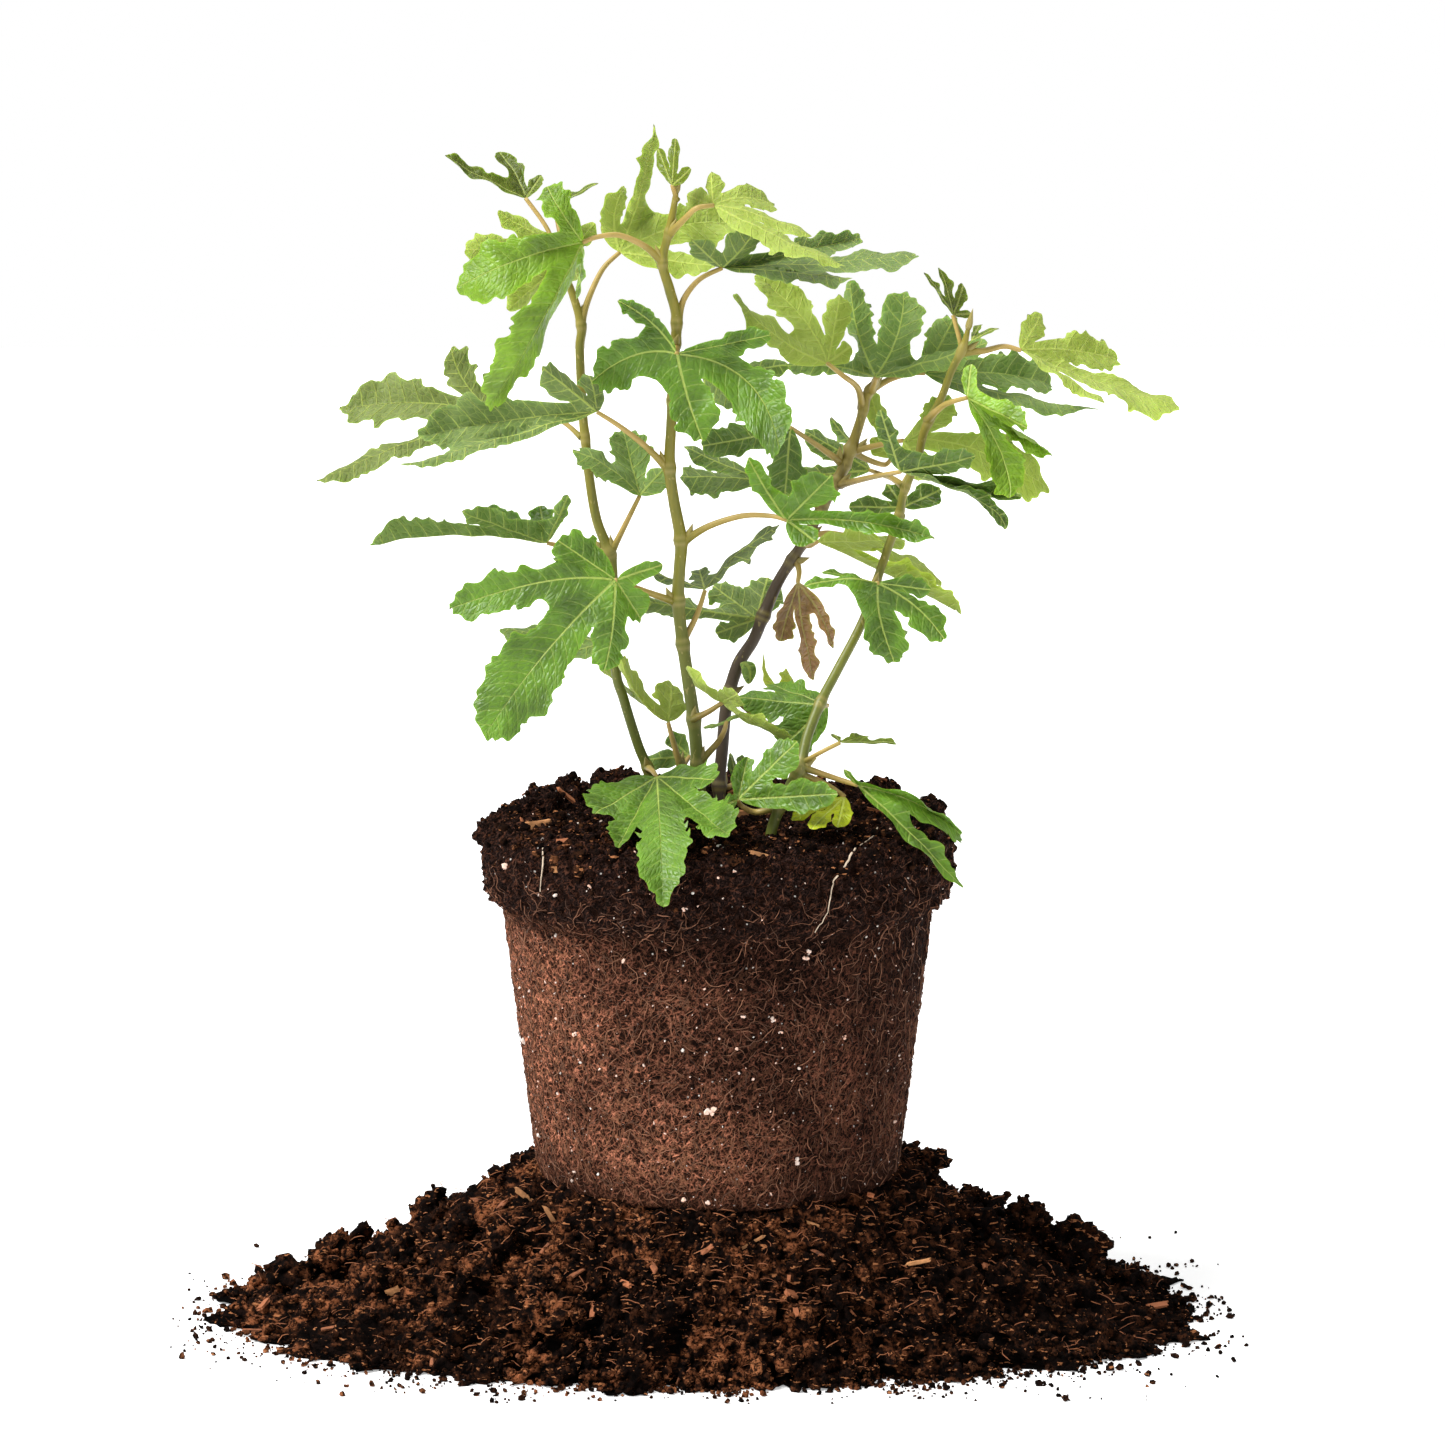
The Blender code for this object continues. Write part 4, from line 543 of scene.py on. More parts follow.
def mesh_piece(name, points, faces, materials, smooth=True):
    """An object from points in millimetres and a list of faces."""
    mesh = bpy.data.meshes.new(name)
    mesh.from_pydata((np.array(points) * MM).tolist(), [], faces)
    for material in materials:
        mesh.materials.append(material)
    mesh.polygons.foreach_set("use_smooth", [smooth] * len(mesh.polygons))
    mesh.update()
    obj = bpy.data.objects.new(name, mesh)
    bpy.context.scene.collection.objects.link(obj)
    return obj


def keep(piece, slot, *nodes):
    """Sets a finished piece on the frame."""
    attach(piece, "root")
    if nodes:
        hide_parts(*nodes)


def cover(piece, material):
    """Gives a joined piece one smooth finish."""
    make_active(piece)
    bpy.ops.object.shade_smooth()
    piece.data.materials.clear()
    piece.data.materials.append(material)


def point_values(obj, name, values):
    obj.data.attributes.new(name, "FLOAT", "POINT").data.foreach_set("value", values)


def values_of(items, key, width, kind=float):
    """A row of numbers for each point or edge of a mesh."""
    values = np.zeros(len(items) * width, kind)
    items.foreach_get(key, values)
    return values.reshape(-1, width)


def apply_modifier(obj, kind, **settings):
    make_active(obj)
    bpy.ops.object.modifier_add(type=kind)
    modifier = obj.modifiers[-1]
    for key, value in settings.items():
        setattr(modifier, key, value)
    bpy.ops.object.modifier_apply(modifier=modifier.name)


def mark_crevice_shade(obj, rounds, depth):
    """Gives each point how far it lies below its surroundings, the mask of the painted shade in crevices: 1
    at this depth in millimetres or more.
    """
    places, normals = values_of(obj.data.vertices, "co", 3), values_of(obj.data.vertices, "normal", 3)
    pairs = values_of(obj.data.edges, "vertices", 2, int)
    ends = np.concatenate([pairs[:, 0], pairs[:, 1]])
    others = np.concatenate([pairs[:, 1], pairs[:, 0]])
    neighbours = np.bincount(ends, minlength=len(places))[:, None] + 1.0
    smooth = places.copy()
    for _ in range(rounds):
        total = [np.bincount(ends, smooth[others, axis], len(places)) for axis in range(3)]
        smooth = (smooth + np.array(total).T) / neighbours
    below = ((smooth - places) * normals).sum(axis=1) / MM
    point_values(obj, "crevice", np.clip(below / depth, 0.0, 1.0))


def roughen(obj, relief, group=""):
    """Pushes a piece's points in and out by each (spacing, height, pattern, middle level) in millimetres."""
    for spacing, height, kind, level in relief:
        texture = bpy.data.textures.new(obj.name + "_rough", kind)
        texture.noise_scale = spacing * MM
        apply_modifier(
            obj, "DISPLACE", texture=texture, texture_coords="LOCAL", strength=height * MM, mid_level=level,
            vertex_group=group,
        )
        bpy.data.textures.remove(texture)


def seen(point):
    """The place in space of an (across, up, depth) point, undoing the view's perspective."""
    across, up, depth = point
    across -= VIEW_CENTRE_ACROSS
    up -= VIEW_CENTRE_UP
    sine, cosine = math.sin(VIEW_RISE), math.cos(VIEW_RISE)
    beyond = (depth - up * sine) / (cosine + up * sine / VIEW_DISTANCE)
    growth = (VIEW_DISTANCE + beyond) / VIEW_DISTANCE
    centre_height = VIEW_CENTRE_UP / cosine
    return Vector((
        VIEW_CENTRE_ACROSS + growth * across,
        depth,
        centre_height + growth * up * cosine - beyond * sine,
    ))


def eye():
    """The place of the camera, in millimetres."""
    centre = Vector((VIEW_CENTRE_ACROSS, 0.0, VIEW_CENTRE_UP / math.cos(VIEW_RISE)))
    return centre + VIEW_DISTANCE * Vector((0.0, -math.cos(VIEW_RISE), math.sin(VIEW_RISE)))


def polar(reach, turn):
    return reach * math.cos(turn), reach * math.sin(turn)


def on_curve(a, b, c, d, t):
    """The point a share t of the way from b to c, on a smooth curve that comes from a and goes on to d."""
    return 0.5 * (
        2 * b + (c - a) * t + (2 * a - 5 * b + 4 * c - d) * t * t + (3 * b - a - 3 * c + d) * t ** 3
    )


# Materials

# How far each colour of light goes into a blade, and how much of it does
LIGHT_THROUGH_LEAF = (0.6, 1.0, 0.15)
GLOW = 0.30
# Distances from the middle of a vein between which it fades out
MIDRIB_WIDTH = (0.24, 0.64)
SIDE_VEIN_WIDTH = (0.06, 0.42)
# Cells of a leaf's net in a millimetre, and of the ball's specks in a metre
NET_SCALE = 0.42
SPECK_SCALE = 210.0
# What a dark patch of the ball, and the painted shade up and to its right, leave of each colour
DIM_SOIL_AND_SHADE = (0.22, 0.22, 0.24)


class Finish:
    """Builds a procedural material around its own shader, a node at a time."""

    def __init__(self, name, roughness, specular=0.5, sheen=0.0, glow=0.0):
        self.material = bpy.data.materials.new(name)
        self.material.use_nodes = True
        self.tree = self.material.node_tree
        self.shader = self.tree.nodes["Principled BSDF"]
        self.connect(self.shader, {
            "Roughness": roughness, "Specular IOR Level": specular, "Sheen Weight": sheen,
            "Subsurface Weight": glow, "Subsurface Radius": LIGHT_THROUGH_LEAF, "Subsurface Scale": MM,
        })
        self.coordinates = self.tree.nodes.new("ShaderNodeTexCoord").outputs["Object"]

    def connect(self, node, inputs):
        """Links each input to a socket, or sets it to a value."""
        for key, value in inputs.items():
            if isinstance(value, bpy.types.NodeSocket):
                self.tree.links.new(value, node.inputs[key])
            elif value is not None:
                node.inputs[key].default_value = value

    def add(self, kind, inputs, **settings):
        node = self.tree.nodes.new(kind)
        for key, value in settings.items():
            setattr(node, key, value)
        self.connect(node, inputs)
        return node

    def math(self, operation, first, second=0.0):
        return self.add("ShaderNodeMath", {0: first, 1: second}, operation=operation).outputs[0]

    def times(self, first, second):
        return self.math("MULTIPLY", first, second)

    def plus(self, first, second):
        return self.math("ADD", first, second)

    def larger(self, first, second):
        return self.math("MAXIMUM", first, second)

    def attribute(self, name):
        return self.add("ShaderNodeAttribute", {}, attribute_name=name).outputs["Fac"]

    def parts(self, vector=None):
        return self.add("ShaderNodeSeparateXYZ", {"Vector": vector or self.coordinates}).outputs

    def noise(self, size, detail=3.0, vector=None, rough=0.55):
        """Cloudy values from 0 to 1, with lumps of this size in millimetres."""
        return self.add("ShaderNodeTexNoise", {
            "Vector": vector or self.coordinates, "Scale": 1.0 / MM / size, "Detail": detail,
            "Roughness": rough,
        }).outputs[0]

    def stretched(self, across, deep, high):
        """Object coordinates squeezed along each axis."""
        inputs = {"Vector": self.coordinates, "Scale": (across, deep, high)}
        return self.add("ShaderNodeMapping", inputs).outputs[0]

    def tangle(self, size, width, tilt):
        """Thin curly threads, 1 on a thread and 0 between, that run along a slope tilted from upright."""
        turned = self.add(
            "ShaderNodeMapping",
            {"Vector": self.coordinates, "Rotation": (0.3 * tilt, tilt, 0.0), "Scale": (1.0, 1.0, 2.0)},
            vector_type="TEXTURE",
        ).outputs[0]
        cloud = self.noise(size, 2.0, turned, rough=0.4)
        away = self.math("ABSOLUTE", self.math("SUBTRACT", cloud, 0.5))
        return self.step(away, 0.0, width, 1.0, 0.0)

    def step(self, value, low, high, start=0.0, end=1.0):
        """Smooth change from start to end as a value goes from low to high."""
        inputs = {"Value": value, "From Min": low, "From Max": high, "To Min": start, "To Max": end}
        return self.add("ShaderNodeMapRange", inputs, interpolation_type="SMOOTHSTEP").outputs[0]

    def mix(self, amount, first, second, blend="MIX"):
        tones = [
            tone if isinstance(tone, bpy.types.NodeSocket) else (*tone, 1.0) for tone in (first, second)
        ]
        return self.add(
            "ShaderNodeMix", {0: amount, 6: tones[0], 7: tones[1]},
            data_type="RGBA", blend_type=blend, clamp_factor=True,
        ).outputs[2]

    def layers(self, base, *over):
        """Lays tones over a base, each with a mask, or the values that step makes one of, before it."""
        for mask, tone, *blend in over:
            base = self.mix(self.step(*mask) if isinstance(mask, tuple) else mask, base, tone, *blend)
        return base

    def relief(self, *heights):
        """Relief from parts, each a height, its depth in millimetres and its strength."""
        normal = None
        for height, depth, strength in heights:
            inputs = {"Height": height, "Distance": depth * MM, "Strength": strength, "Normal": normal}
            normal = self.add("ShaderNodeBump", inputs).outputs[0]
        return normal

    def done(self, base, normal=None, roughness=None):
        self.connect(self.shader, {"Base Color": base, "Normal": normal, "Roughness": roughness})
        return self.material


def shade(tone, factor):
    return tuple(min(1.0, channel * factor) for channel in tone)


def blend_tone(first, second, share):
    return tuple(a * (1.0 - share) + b * share for a, b in zip(first, second))


def leaf_finish(name, tone, vein, under, clear):
    """Blade with a pale midrib, curved side veins and a fine net, which show more or less clear.

    The layout gives where the nearest side vein starts along its midrib, and the distance from the midrib.
    """
    if under:
        finish = Finish(name, 0.62, specular=0.25, sheen=0.06, glow=GLOW)
        light, dark = blend_tone(tone, (0.30, 0.36, 0.15), 0.38), blend_tone(tone, (0.15, 0.20, 0.08), 0.30)
    else:
        finish = Finish(name, 0.44, specular=0.42, glow=GLOW)
        light, dark = shade(tone, 1.25), shade(tone, 0.60)
    layout = finish.add("ShaderNodeUVMap", {}, uv_map="lobe").outputs[0]
    start, beside = finish.parts(layout)[:2]
    away = finish.math("ABSOLUTE", beside)
    turn = finish.math("FRACT", finish.math("DIVIDE", start, SIDE_VEIN_SPACING))
    from_vein = finish.times(finish.math("ABSOLUTE", finish.math("SUBTRACT", turn, 0.5)), SIDE_VEIN_SPACING)
    midrib = finish.step(finish.plus(away, finish.times(start, 0.006)), *MIDRIB_WIDTH, 1.0, 0.0)
    side_vein = finish.step(finish.plus(from_vein, finish.times(away, 0.012)), *SIDE_VEIN_WIDTH, 1.0, 0.0)
    cells = finish.add(
        "ShaderNodeTexVoronoi", {"Vector": layout, "Scale": NET_SCALE, "Randomness": 0.9},
        feature="DISTANCE_TO_EDGE", voronoi_dimensions="2D",
    ).outputs["Distance"]
    net = finish.step(cells, 0.01, 0.10, 1.0, 0.0)
    strong = finish.larger(midrib, finish.times(side_vein, 0.12 + 0.85 * clear))
    veins = finish.larger(strong, finish.times(net, 0.01 + 0.30 * clear * clear))
    base = finish.layers(
        dark,
        ((finish.noise(16.0, 4.0), 0.36, 0.66), light),
        ((from_vein, 0.3, 1.6, 0.10 + 0.15 * clear, 0.0), shade(light, 1.2)),
        (finish.times(finish.attribute("rim"), 0.38), shade(light, 1.35)),
        (finish.times(veins, 0.85), vein),
        (finish.attribute("tint"), shade(tone, 0.45)),
    )
    normal = finish.relief(
        (finish.times(veins, 1.0 if under else -1.0), 0.35, 0.8),
        (finish.step(cells, 0.0, 0.35), 0.30, 0.6),
        (finish.noise(0.6, 1.0), 0.16, 0.5),
    )
    rough = finish.step(finish.noise(5.0), 0.3, 0.7, 0.52 if under else 0.38, 0.70 if under else 0.56)
    return finish.done(base, normal, rough)


def stem_finish(name, young, old, stalk, bud, from_height, to_height):
    """Stem that ages from its top to its foot, with pale stalks, pores and fine length-wise lines."""
    finish = Finish(name, 0.48, specular=0.45)
    streaks = finish.noise(3.0, 4.0, finish.stretched(1.0, 1.0, 0.18))
    pores = finish.noise(1.5, 1.0, finish.stretched(1.0, 1.0, 0.6))
    stalk_tone = finish.layers(stalk, ((finish.noise(9.0), 0.35, 0.65), blend_tone(stalk, young, 0.45)))
    base = finish.layers(
        old,
        ((finish.parts()[2], from_height, to_height), young),
        ((streaks, 0.38, 0.70, 0.0, 0.55), shade(old, 0.72)),
        ((pores, 0.66, 0.72, 0.0, 0.5), shade(bud, 1.2)),
        (finish.attribute("stalk"), stalk_tone),
        (finish.attribute("node"), bud),
    )
    return finish.done(base, finish.relief((streaks, 0.35, 0.45)))


def soil_finish(name, dark, brown, light, grain):
    """Crumbly soil: dark moist grains with browner ones and specks of fibre, with painted glints on the
    specks, and painted shade in crevices, in fine gaps, in random patches and over the right side.
    """
    finish = Finish(name, 0.92, specular=0.04)
    fine = finish.noise(grain * 0.8, 5.0, rough=0.75)
    # Random patches of painted shade over hollows, and painted shade over the right side, where the ball's
    # shadow falls
    areas = finish.step(finish.noise(grain * 11.0, 4.0), 0.43, 0.57, 0.88, 0.0)
    painted_shade = finish.larger(areas, finish.step(finish.parts()[0], -0.01, 0.10, 0.0, 0.86))
    specks = finish.noise(grain * 0.8, 2.0, finish.stretched(0.5, 0.5, 1.6))
    base = finish.layers(
        dark,
        ((finish.noise(grain * 3.0, 4.0), 0.44, 0.62, 0.0, 0.85), brown),
        (finish.attribute("tint"), blend_tone(brown, light, 0.5)),
        (painted_shade, shade(dark, 0.5)),
        # painted shade in the fine gaps between grains
        ((fine, 0.44, 0.54, 0.95, 0.0), shade(dark, 0.12)),
        # light specks, partly pale fibre and partly painted glints
        ((specks, 0.64, 0.67, 0.0, 0.9), light),
        # painted shade in the crevices
        (finish.attribute("crevice"), shade(dark, 0.08)),
    )
    normal = finish.relief((fine, 1.4, 1.0), (finish.noise(grain * 0.25, 3.0), 0.5, 0.7))
    return finish.done(base, normal, finish.step(fine, 0.3, 0.7, 0.75, 0.97))


def plain_finish(name, tone, other, grain, roughness, tint=None):
    """A tone that wanders to another one; a tint attribute can take it to a third."""
    finish = Finish(name, roughness, specular=0.3)
    base = finish.layers(tone, ((finish.noise(grain, 4.0), 0.35, 0.65), other))
    if tint:
        base = finish.layers(base, (finish.attribute("tint"), tint))
    return finish.done(base, finish.relief((finish.noise(grain * 0.4, 3.0), grain * 0.12, 0.6)))


def ball_finish(settings):
    """Brown fibres matted over dark soil on the side, darker crumbs on the rim; the side darkens up and to
    the right, partly darker soil and partly painted shade, and takes painted shade in its crevices.
    """
    finish = Finish("root_mat_fine", 0.90, specular=0.04)
    side, white = settings.side, settings.white
    left, right = finish.tangle(2.3, 0.050, 0.8), finish.tangle(2.0, 0.050, -0.7)
    level, long = finish.tangle(1.7, 0.055, 1.5), finish.tangle(3.6, 0.035, 0.1)
    across, _, up = finish.parts()
    patches = finish.noise(42.0, 4.0)
    fine = finish.noise(0.8, 3.0, rough=0.7)
    soil_and_shade_to_right = finish.plus(across, finish.times(up, 0.55))
    below_rim = finish.plus(finish.plus(up, finish.times(across, 0.25)), finish.times(patches, 0.06))
    mat = finish.layers(
        shade(side, 0.01),
        ((fine, 0.42, 0.60), shade(side, 0.14)),
        (level, shade(side, 0.8)),
        (right, shade(side, 1.2)),
        (left, shade(side, 1.9)),
        (long, shade(settings.root, 1.2)),
        ((patches, 0.38, 0.56, 0.7, 0.0), DIM_SOIL_AND_SHADE, "MULTIPLY"),
        # darker up and to the right: partly darker soil, partly painted shade on the side away from the light
        ((soil_and_shade_to_right, 0.01, 0.09, 0.0, 0.8), DIM_SOIL_AND_SHADE, "MULTIPLY"),
        ((up, 0.054, 0.072, 0.7, 0.0), shade(side, 0.06)),
        ((below_rim, 0.156, 0.176, 0.0, 0.72), DIM_SOIL_AND_SHADE, "MULTIPLY"),
    )
    rim = finish.layers(
        shade(settings.rim, 0.12),
        ((fine, 0.42, 0.60), settings.rim),
        (finish.times(left, 0.3), shade(side, 0.8)),
    )
    specks = finish.add(
        "ShaderNodeTexVoronoi", {"Vector": finish.coordinates, "Scale": SPECK_SCALE}, feature="F1",
    ).outputs["Distance"]
    areas = finish.step(finish.noise(22.0), 0.46, 0.56)
    kept = finish.times(areas, finish.step(specks, 0.05, 0.10, 0.9, 0.0))
    base = finish.layers(
        mat,
        (finish.attribute("rim"), rim),
        # painted shade in the crevices
        (finish.attribute("crevice"), shade(side, 0.04)),
        (kept, white),
    )
    strands = finish.larger(finish.larger(left, right), finish.larger(level, long))
    return finish.done(base, finish.relief((strands, 1.6, 1.0), (fine, 0.7, 0.8)))


# How clear the side veins and their net are on each kind of leaf
CLEARNESS_OF_VEINS = {
    "mature": 0.30, "bright": 0.25, "dark": 0.75, "dull": 0.55, "pale": 0.60, "young": 0.12, "yellow": 0.40,
    "dead": 0.30,
}
SOIL_GRAIN = 2.2
MATERIALS = {}


def all_materials(scene):
    """Every finish that the pieces take, made once."""
    if MATERIALS:
        return MATERIALS
    leaf, stem, ball, heap = scene.fig_leaf, scene.fig_stem, scene.fig_ball, scene.fig_heap
    for tone, clear in CLEARNESS_OF_VEINS.items():
        main = tuple(getattr(leaf, tone))
        vein = blend_tone(main, tuple(leaf.veins), 0.30 if tone == "dead" else 0.52 + 0.30 * clear)
        MATERIALS[tone] = leaf_finish(f"leaf_{tone}_upper", main, vein, False, clear)
        MATERIALS[tone + "_under"] = leaf_finish(f"leaf_{tone}_under", main, vein, True, 1.0)
    top = blend_tone(stem.olive, stem.stalk, 0.22)
    for key, name, young, old, ages_over in (
        ("green", "stem_green_fine", stem.olive, stem.old_green, (0.20, 0.32)),
        ("woody", "stem_bark_fine", top, stem.bark, (0.26, 0.325)),
    ):
        MATERIALS[key] = stem_finish(name, young, old, stem.stalk, stem.bud, *ages_over)
    MATERIALS["ball"] = ball_finish(ball)
    MATERIALS["soil"] = soil_finish("loose_soil_fine", heap.soil, heap.brown, heap.fibre, SOIL_GRAIN)
    rim_brown = shade(heap.brown, 0.24)
    MATERIALS["rim_soil"] = soil_finish("rim_soil_fine", heap.soil, rim_brown, heap.fibre, SOIL_GRAIN)
    wood = blend_tone(heap.fibre, (1.0, 0.5, 0.2), 0.45)
    for name, tone, other, grain, roughness, *tint in (
        ("perlite", ball.white, shade(ball.white, 0.7), 1.2, 0.9, shade(ball.side, 3.0)),
        ("fine_root", ball.root, shade(ball.root, 0.6), 2.0, 0.75, shade(ball.root, 0.2)),
        ("pale_root", ball.pale_root, shade(ball.pale_root, 0.6), 4.0, 0.7),
        ("light_chip", wood, shade(wood, 0.6), 2.0, 0.8, shade(wood, 0.3)),
        ("bark_chip", shade(heap.brown, 0.12), shade(heap.brown, 0.6), 2.0, 0.8, heap.brown),
        ("fibre", heap.brown, heap.fibre, 3.0, 0.75, shade(heap.brown, 0.6)),
    ):
        MATERIALS[name] = plain_finish(name, tone, other, grain, roughness, *tint)
    return MATERIALS


# Leaf blades


class Midrib:
    """The curved line of a lobe's midrib, measured along its length."""

    def __init__(self, base, tip, via):
        middle = via if via else (base + tip) / 2
        pull = 2 * middle - (base + tip) / 2
        self.points = []
        for step in range(MIDRIB_STEPS + 1):
            t = step / MIDRIB_STEPS
            self.points.append((1 - t) ** 2 * base + 2 * t * (1 - t) * pull + t * t * tip)
        self.lengths = [0.0]
        for a, b in zip(self.points, self.points[1:]):
            self.lengths.append(self.lengths[-1] + (b - a).length)
        self.length = self.lengths[-1]

    def from_base(self, distance):
        """The way from the base to the point at this length; past the tip the line runs straight on."""
        if distance >= self.length:
            end = self.points[-1]
            along = (end - self.points[-2]).normalized()
            return end + along * (distance - self.length) - self.points[0]
        for index in range(MIDRIB_STEPS):
            if distance <= self.lengths[index + 1]:
                share = (distance - self.lengths[index]) / (self.lengths[index + 1] - self.lengths[index])
                return self.points[index].lerp(self.points[index + 1], share) - self.points[0]
        return self.points[-1] - self.points[0]


class Blade:
    """A leaf blade laid out flat, and the way from the flat layout into space."""

    def __init__(self, leaf, seed):
        self.random = random.Random(seed)
        self.sinus = leaf.sinus or [SINUS_SHARE] * len(leaf.lobes)
        self.base = seen(leaf.base)
        self.ribs = []
        self.widths = []
        for lobe in leaf.lobes:
            tip = seen(lobe[0])
            via = seen(lobe[2]) if len(lobe) > 2 else None
            self.ribs.append(Midrib(self.base, tip, via))
            self.widths.append(lobe[1])
        self.angles = [0.0]
        for a, b in zip(self.ribs, self.ribs[1:]):
            self.angles.append(self.angles[-1] + self.angle_between(a, b))
        self.lobes = len(self.ribs)
        if self.lobes == 1:
            self.give_single_lobe_a_side()
        self.phase = self.random.uniform(0, ABOUT_ROUND)

    def angle_between(self, a, b):
        at_tips = a.from_base(a.length).angle(b.from_base(b.length))
        halfway = a.from_base(a.length / 2).angle(b.from_base(b.length / 2))
        return min(max((at_tips + halfway) / 2, NARROWEST_SECTOR), WIDEST_SECTOR)

    def give_single_lobe_a_side(self):
        """A second line, with no lobe of its own, that tells which way a one-lobed blade faces."""
        along = self.ribs[0].from_base(self.ribs[0].length).normalized()
        sideways = along.cross(Vector((0.2, -0.9, 0.4))).normalized()
        tip = self.base + (along + sideways).normalized() * self.ribs[0].length
        self.ribs.append(Midrib(self.base, tip, None))
        self.angles.append(math.radians(45.0))

    def in_space(self, flat):
        """The place in space of a flat point, before cupping and waves."""
        radius = flat.length
        if radius < 1e-9:
            return self.base.copy()
        angle = math.atan2(flat.y, flat.x)
        if angle < -math.pi / 2:
            angle += ROUND
        sector = 0
        while sector < len(self.ribs) - 2 and angle > self.angles[sector + 1]:
            sector += 1
        opening = self.angles[sector + 1] - self.angles[sector]
        first = math.sin(self.angles[sector + 1] - angle) / math.sin(opening)
        second = math.sin(angle - self.angles[sector]) / math.sin(opening)
        a, b = self.ribs[sector], self.ribs[sector + 1]
        return self.base + first * a.from_base(radius) + second * b.from_base(radius)

    def on_nearest_rib(self, flat):
        """Distance along and to the left of the nearest lobe's midrib, with that lobe's number."""
        best = (0.0, FAR_AWAY, 0)
        for index, angle in enumerate(self.angles[:self.lobes]):
            along = flat.x * math.cos(angle) + flat.y * math.sin(angle)
            left = flat.y * math.cos(angle) - flat.x * math.sin(angle)
            if along > 0 and abs(left) < abs(best[1]):
                best = (along, left, index)
        return best

    def lift(self, flat):
        """How far a flat point is raised by the cupping and the wavy edge."""
        along, left, index = self.on_nearest_rib(flat)
        if left == FAR_AWAY:
            return 0.0
        share = min(abs(left) / self.widths[index], 1.2)
        size = min(1.0, self.ribs[index].length / FULLY_WAVED_LOBE)
        turns = WAVES_ALONG_LOBE * along / self.ribs[index].length
        wave = math.sin(ROUND * turns + self.phase + index)
        return size * (CUP * share * share + WAVE * wave * share ** 1.5)

    def pucker(self, flat, height):
        """Rise of the blade between its side veins, none on the midribs."""
        along, left, index = self.on_nearest_rib(flat)
        if left == FAR_AWAY:
            return 0.0
        start = self.vein_start(along, left, math.copysign(1.0, left))
        between = abs(math.cos(math.pi * start / SIDE_VEIN_SPACING))
        from_midrib = 1.0 - math.exp(-abs(left) / PUCKER_START)
        size = min(1.0, self.ribs[index].length / FULLY_WAVED_LOBE)
        return height * size * (from_midrib * (1.0 - (1.0 - between) ** 2) - 0.5)

    def vein_start(self, along, left, side):
        """Where along the midrib a side vein starts that bends towards the tip and runs through a point."""
        wander = noise.noise(Vector((along, side * 30.0, self.phase * 20.0)) / 15.0)
        bend = SIDE_VEIN_SLANT * abs(left) + SIDE_VEIN_CURVE * left * left
        return along + SIDE_VEIN_WANDER * wander + side * SIDE_VEIN_SHIFT - bend

    def side_points(self, index, sign, neighbour):
        """Points up one side of a lobe, from beyond its sinus to its tip, kept within its own sector."""
        length, width = self.ribs[index].length, self.widths[index]
        limit, start = None, 0.0
        if neighbour is not None:
            limit = abs(self.angles[neighbour] - self.angles[index]) / 2
            start = self.sinus_reach(index, neighbour) * math.cos(limit) * BEYOND_SINUS
        stations = next(stations for shorter, stations in SIDES_OF_LOBES if length > shorter)
        points = []
        for along, share in stations:
            along += self.random.uniform(-STATION_SHIFT, STATION_SHIFT)
            share *= self.random.uniform(*WIDTH_CHANGE)
            if along * length > start:
                points.append(self.on_lobe(index, sign, along * length, share * width, limit))
        return points

    def sinus_reach(self, index, neighbour):
        """Distance from the base to the bottom of the sinus between two lobes."""
        share = self.sinus[min(index, neighbour)]
        return share * min(self.ribs[index].length, self.ribs[neighbour].length)

    def on_lobe(self, index, sign, along, away, limit):
        if limit is not None:
            away = min(away, along * math.tan(limit) * SECTOR_SHARE)
        angle = self.angles[index]
        x = along * math.cos(angle) - sign * away * math.sin(angle)
        y = along * math.sin(angle) + sign * away * math.cos(angle)
        return Vector((x, y))

    def outline(self):
        """The blade's edge, counter-clockwise from its base."""
        edge = [Vector((0.0, 0.0))]
        last = self.lobes - 1
        for index, width in enumerate(self.widths):
            length = self.ribs[index].length
            before = index - 1 if index > 0 else None
            following = index + 1 if index < last else None
            if before is None:
                for along, share in BASAL_EDGE:
                    edge.append(self.on_lobe(index, -1, along * length, share * width, None))
            edge += self.side_points(index, -1, before)
            edge.append(self.on_lobe(index, 1, length, 0.0, None))
            edge += self.side_points(index, 1, following)[::-1]
            if following is not None:
                reach = self.sinus_reach(index, following)
                angle = (self.angles[index] + self.angles[following]) / 2
                edge.append(Vector(polar(reach, angle)))
            else:
                for along, share in BASAL_EDGE[::-1]:
                    edge.append(self.on_lobe(index, 1, along * length, share * width, None))
        return edge

    def ruffle(self, flat, from_edge):
        """Small uneven waves that fade out away from the blade's edge."""
        wave = noise.noise(Vector((flat.x, flat.y, self.phase * RUFFLE_SPACING)) / RUFFLE_SPACING)
        near_edge = 0.35 + 0.65 * math.exp(-from_edge / RUFFLE_DEPTH)
        return RUFFLE * wave * near_edge * min(1.0, flat.length / 15.0)

    def toothed(self, flat):
        """Share of the full tooth height: none at the base and round the sinuses, full along wide lobes."""
        along, _, index = self.on_nearest_rib(flat)
        up_lobe = min(max((along / self.ribs[index].length - TOOTHED_FROM) / TOOTHED_OVER, 0.0), 1.0)
        return up_lobe * min(1.0, self.widths[index] / WIDE_LOBE)

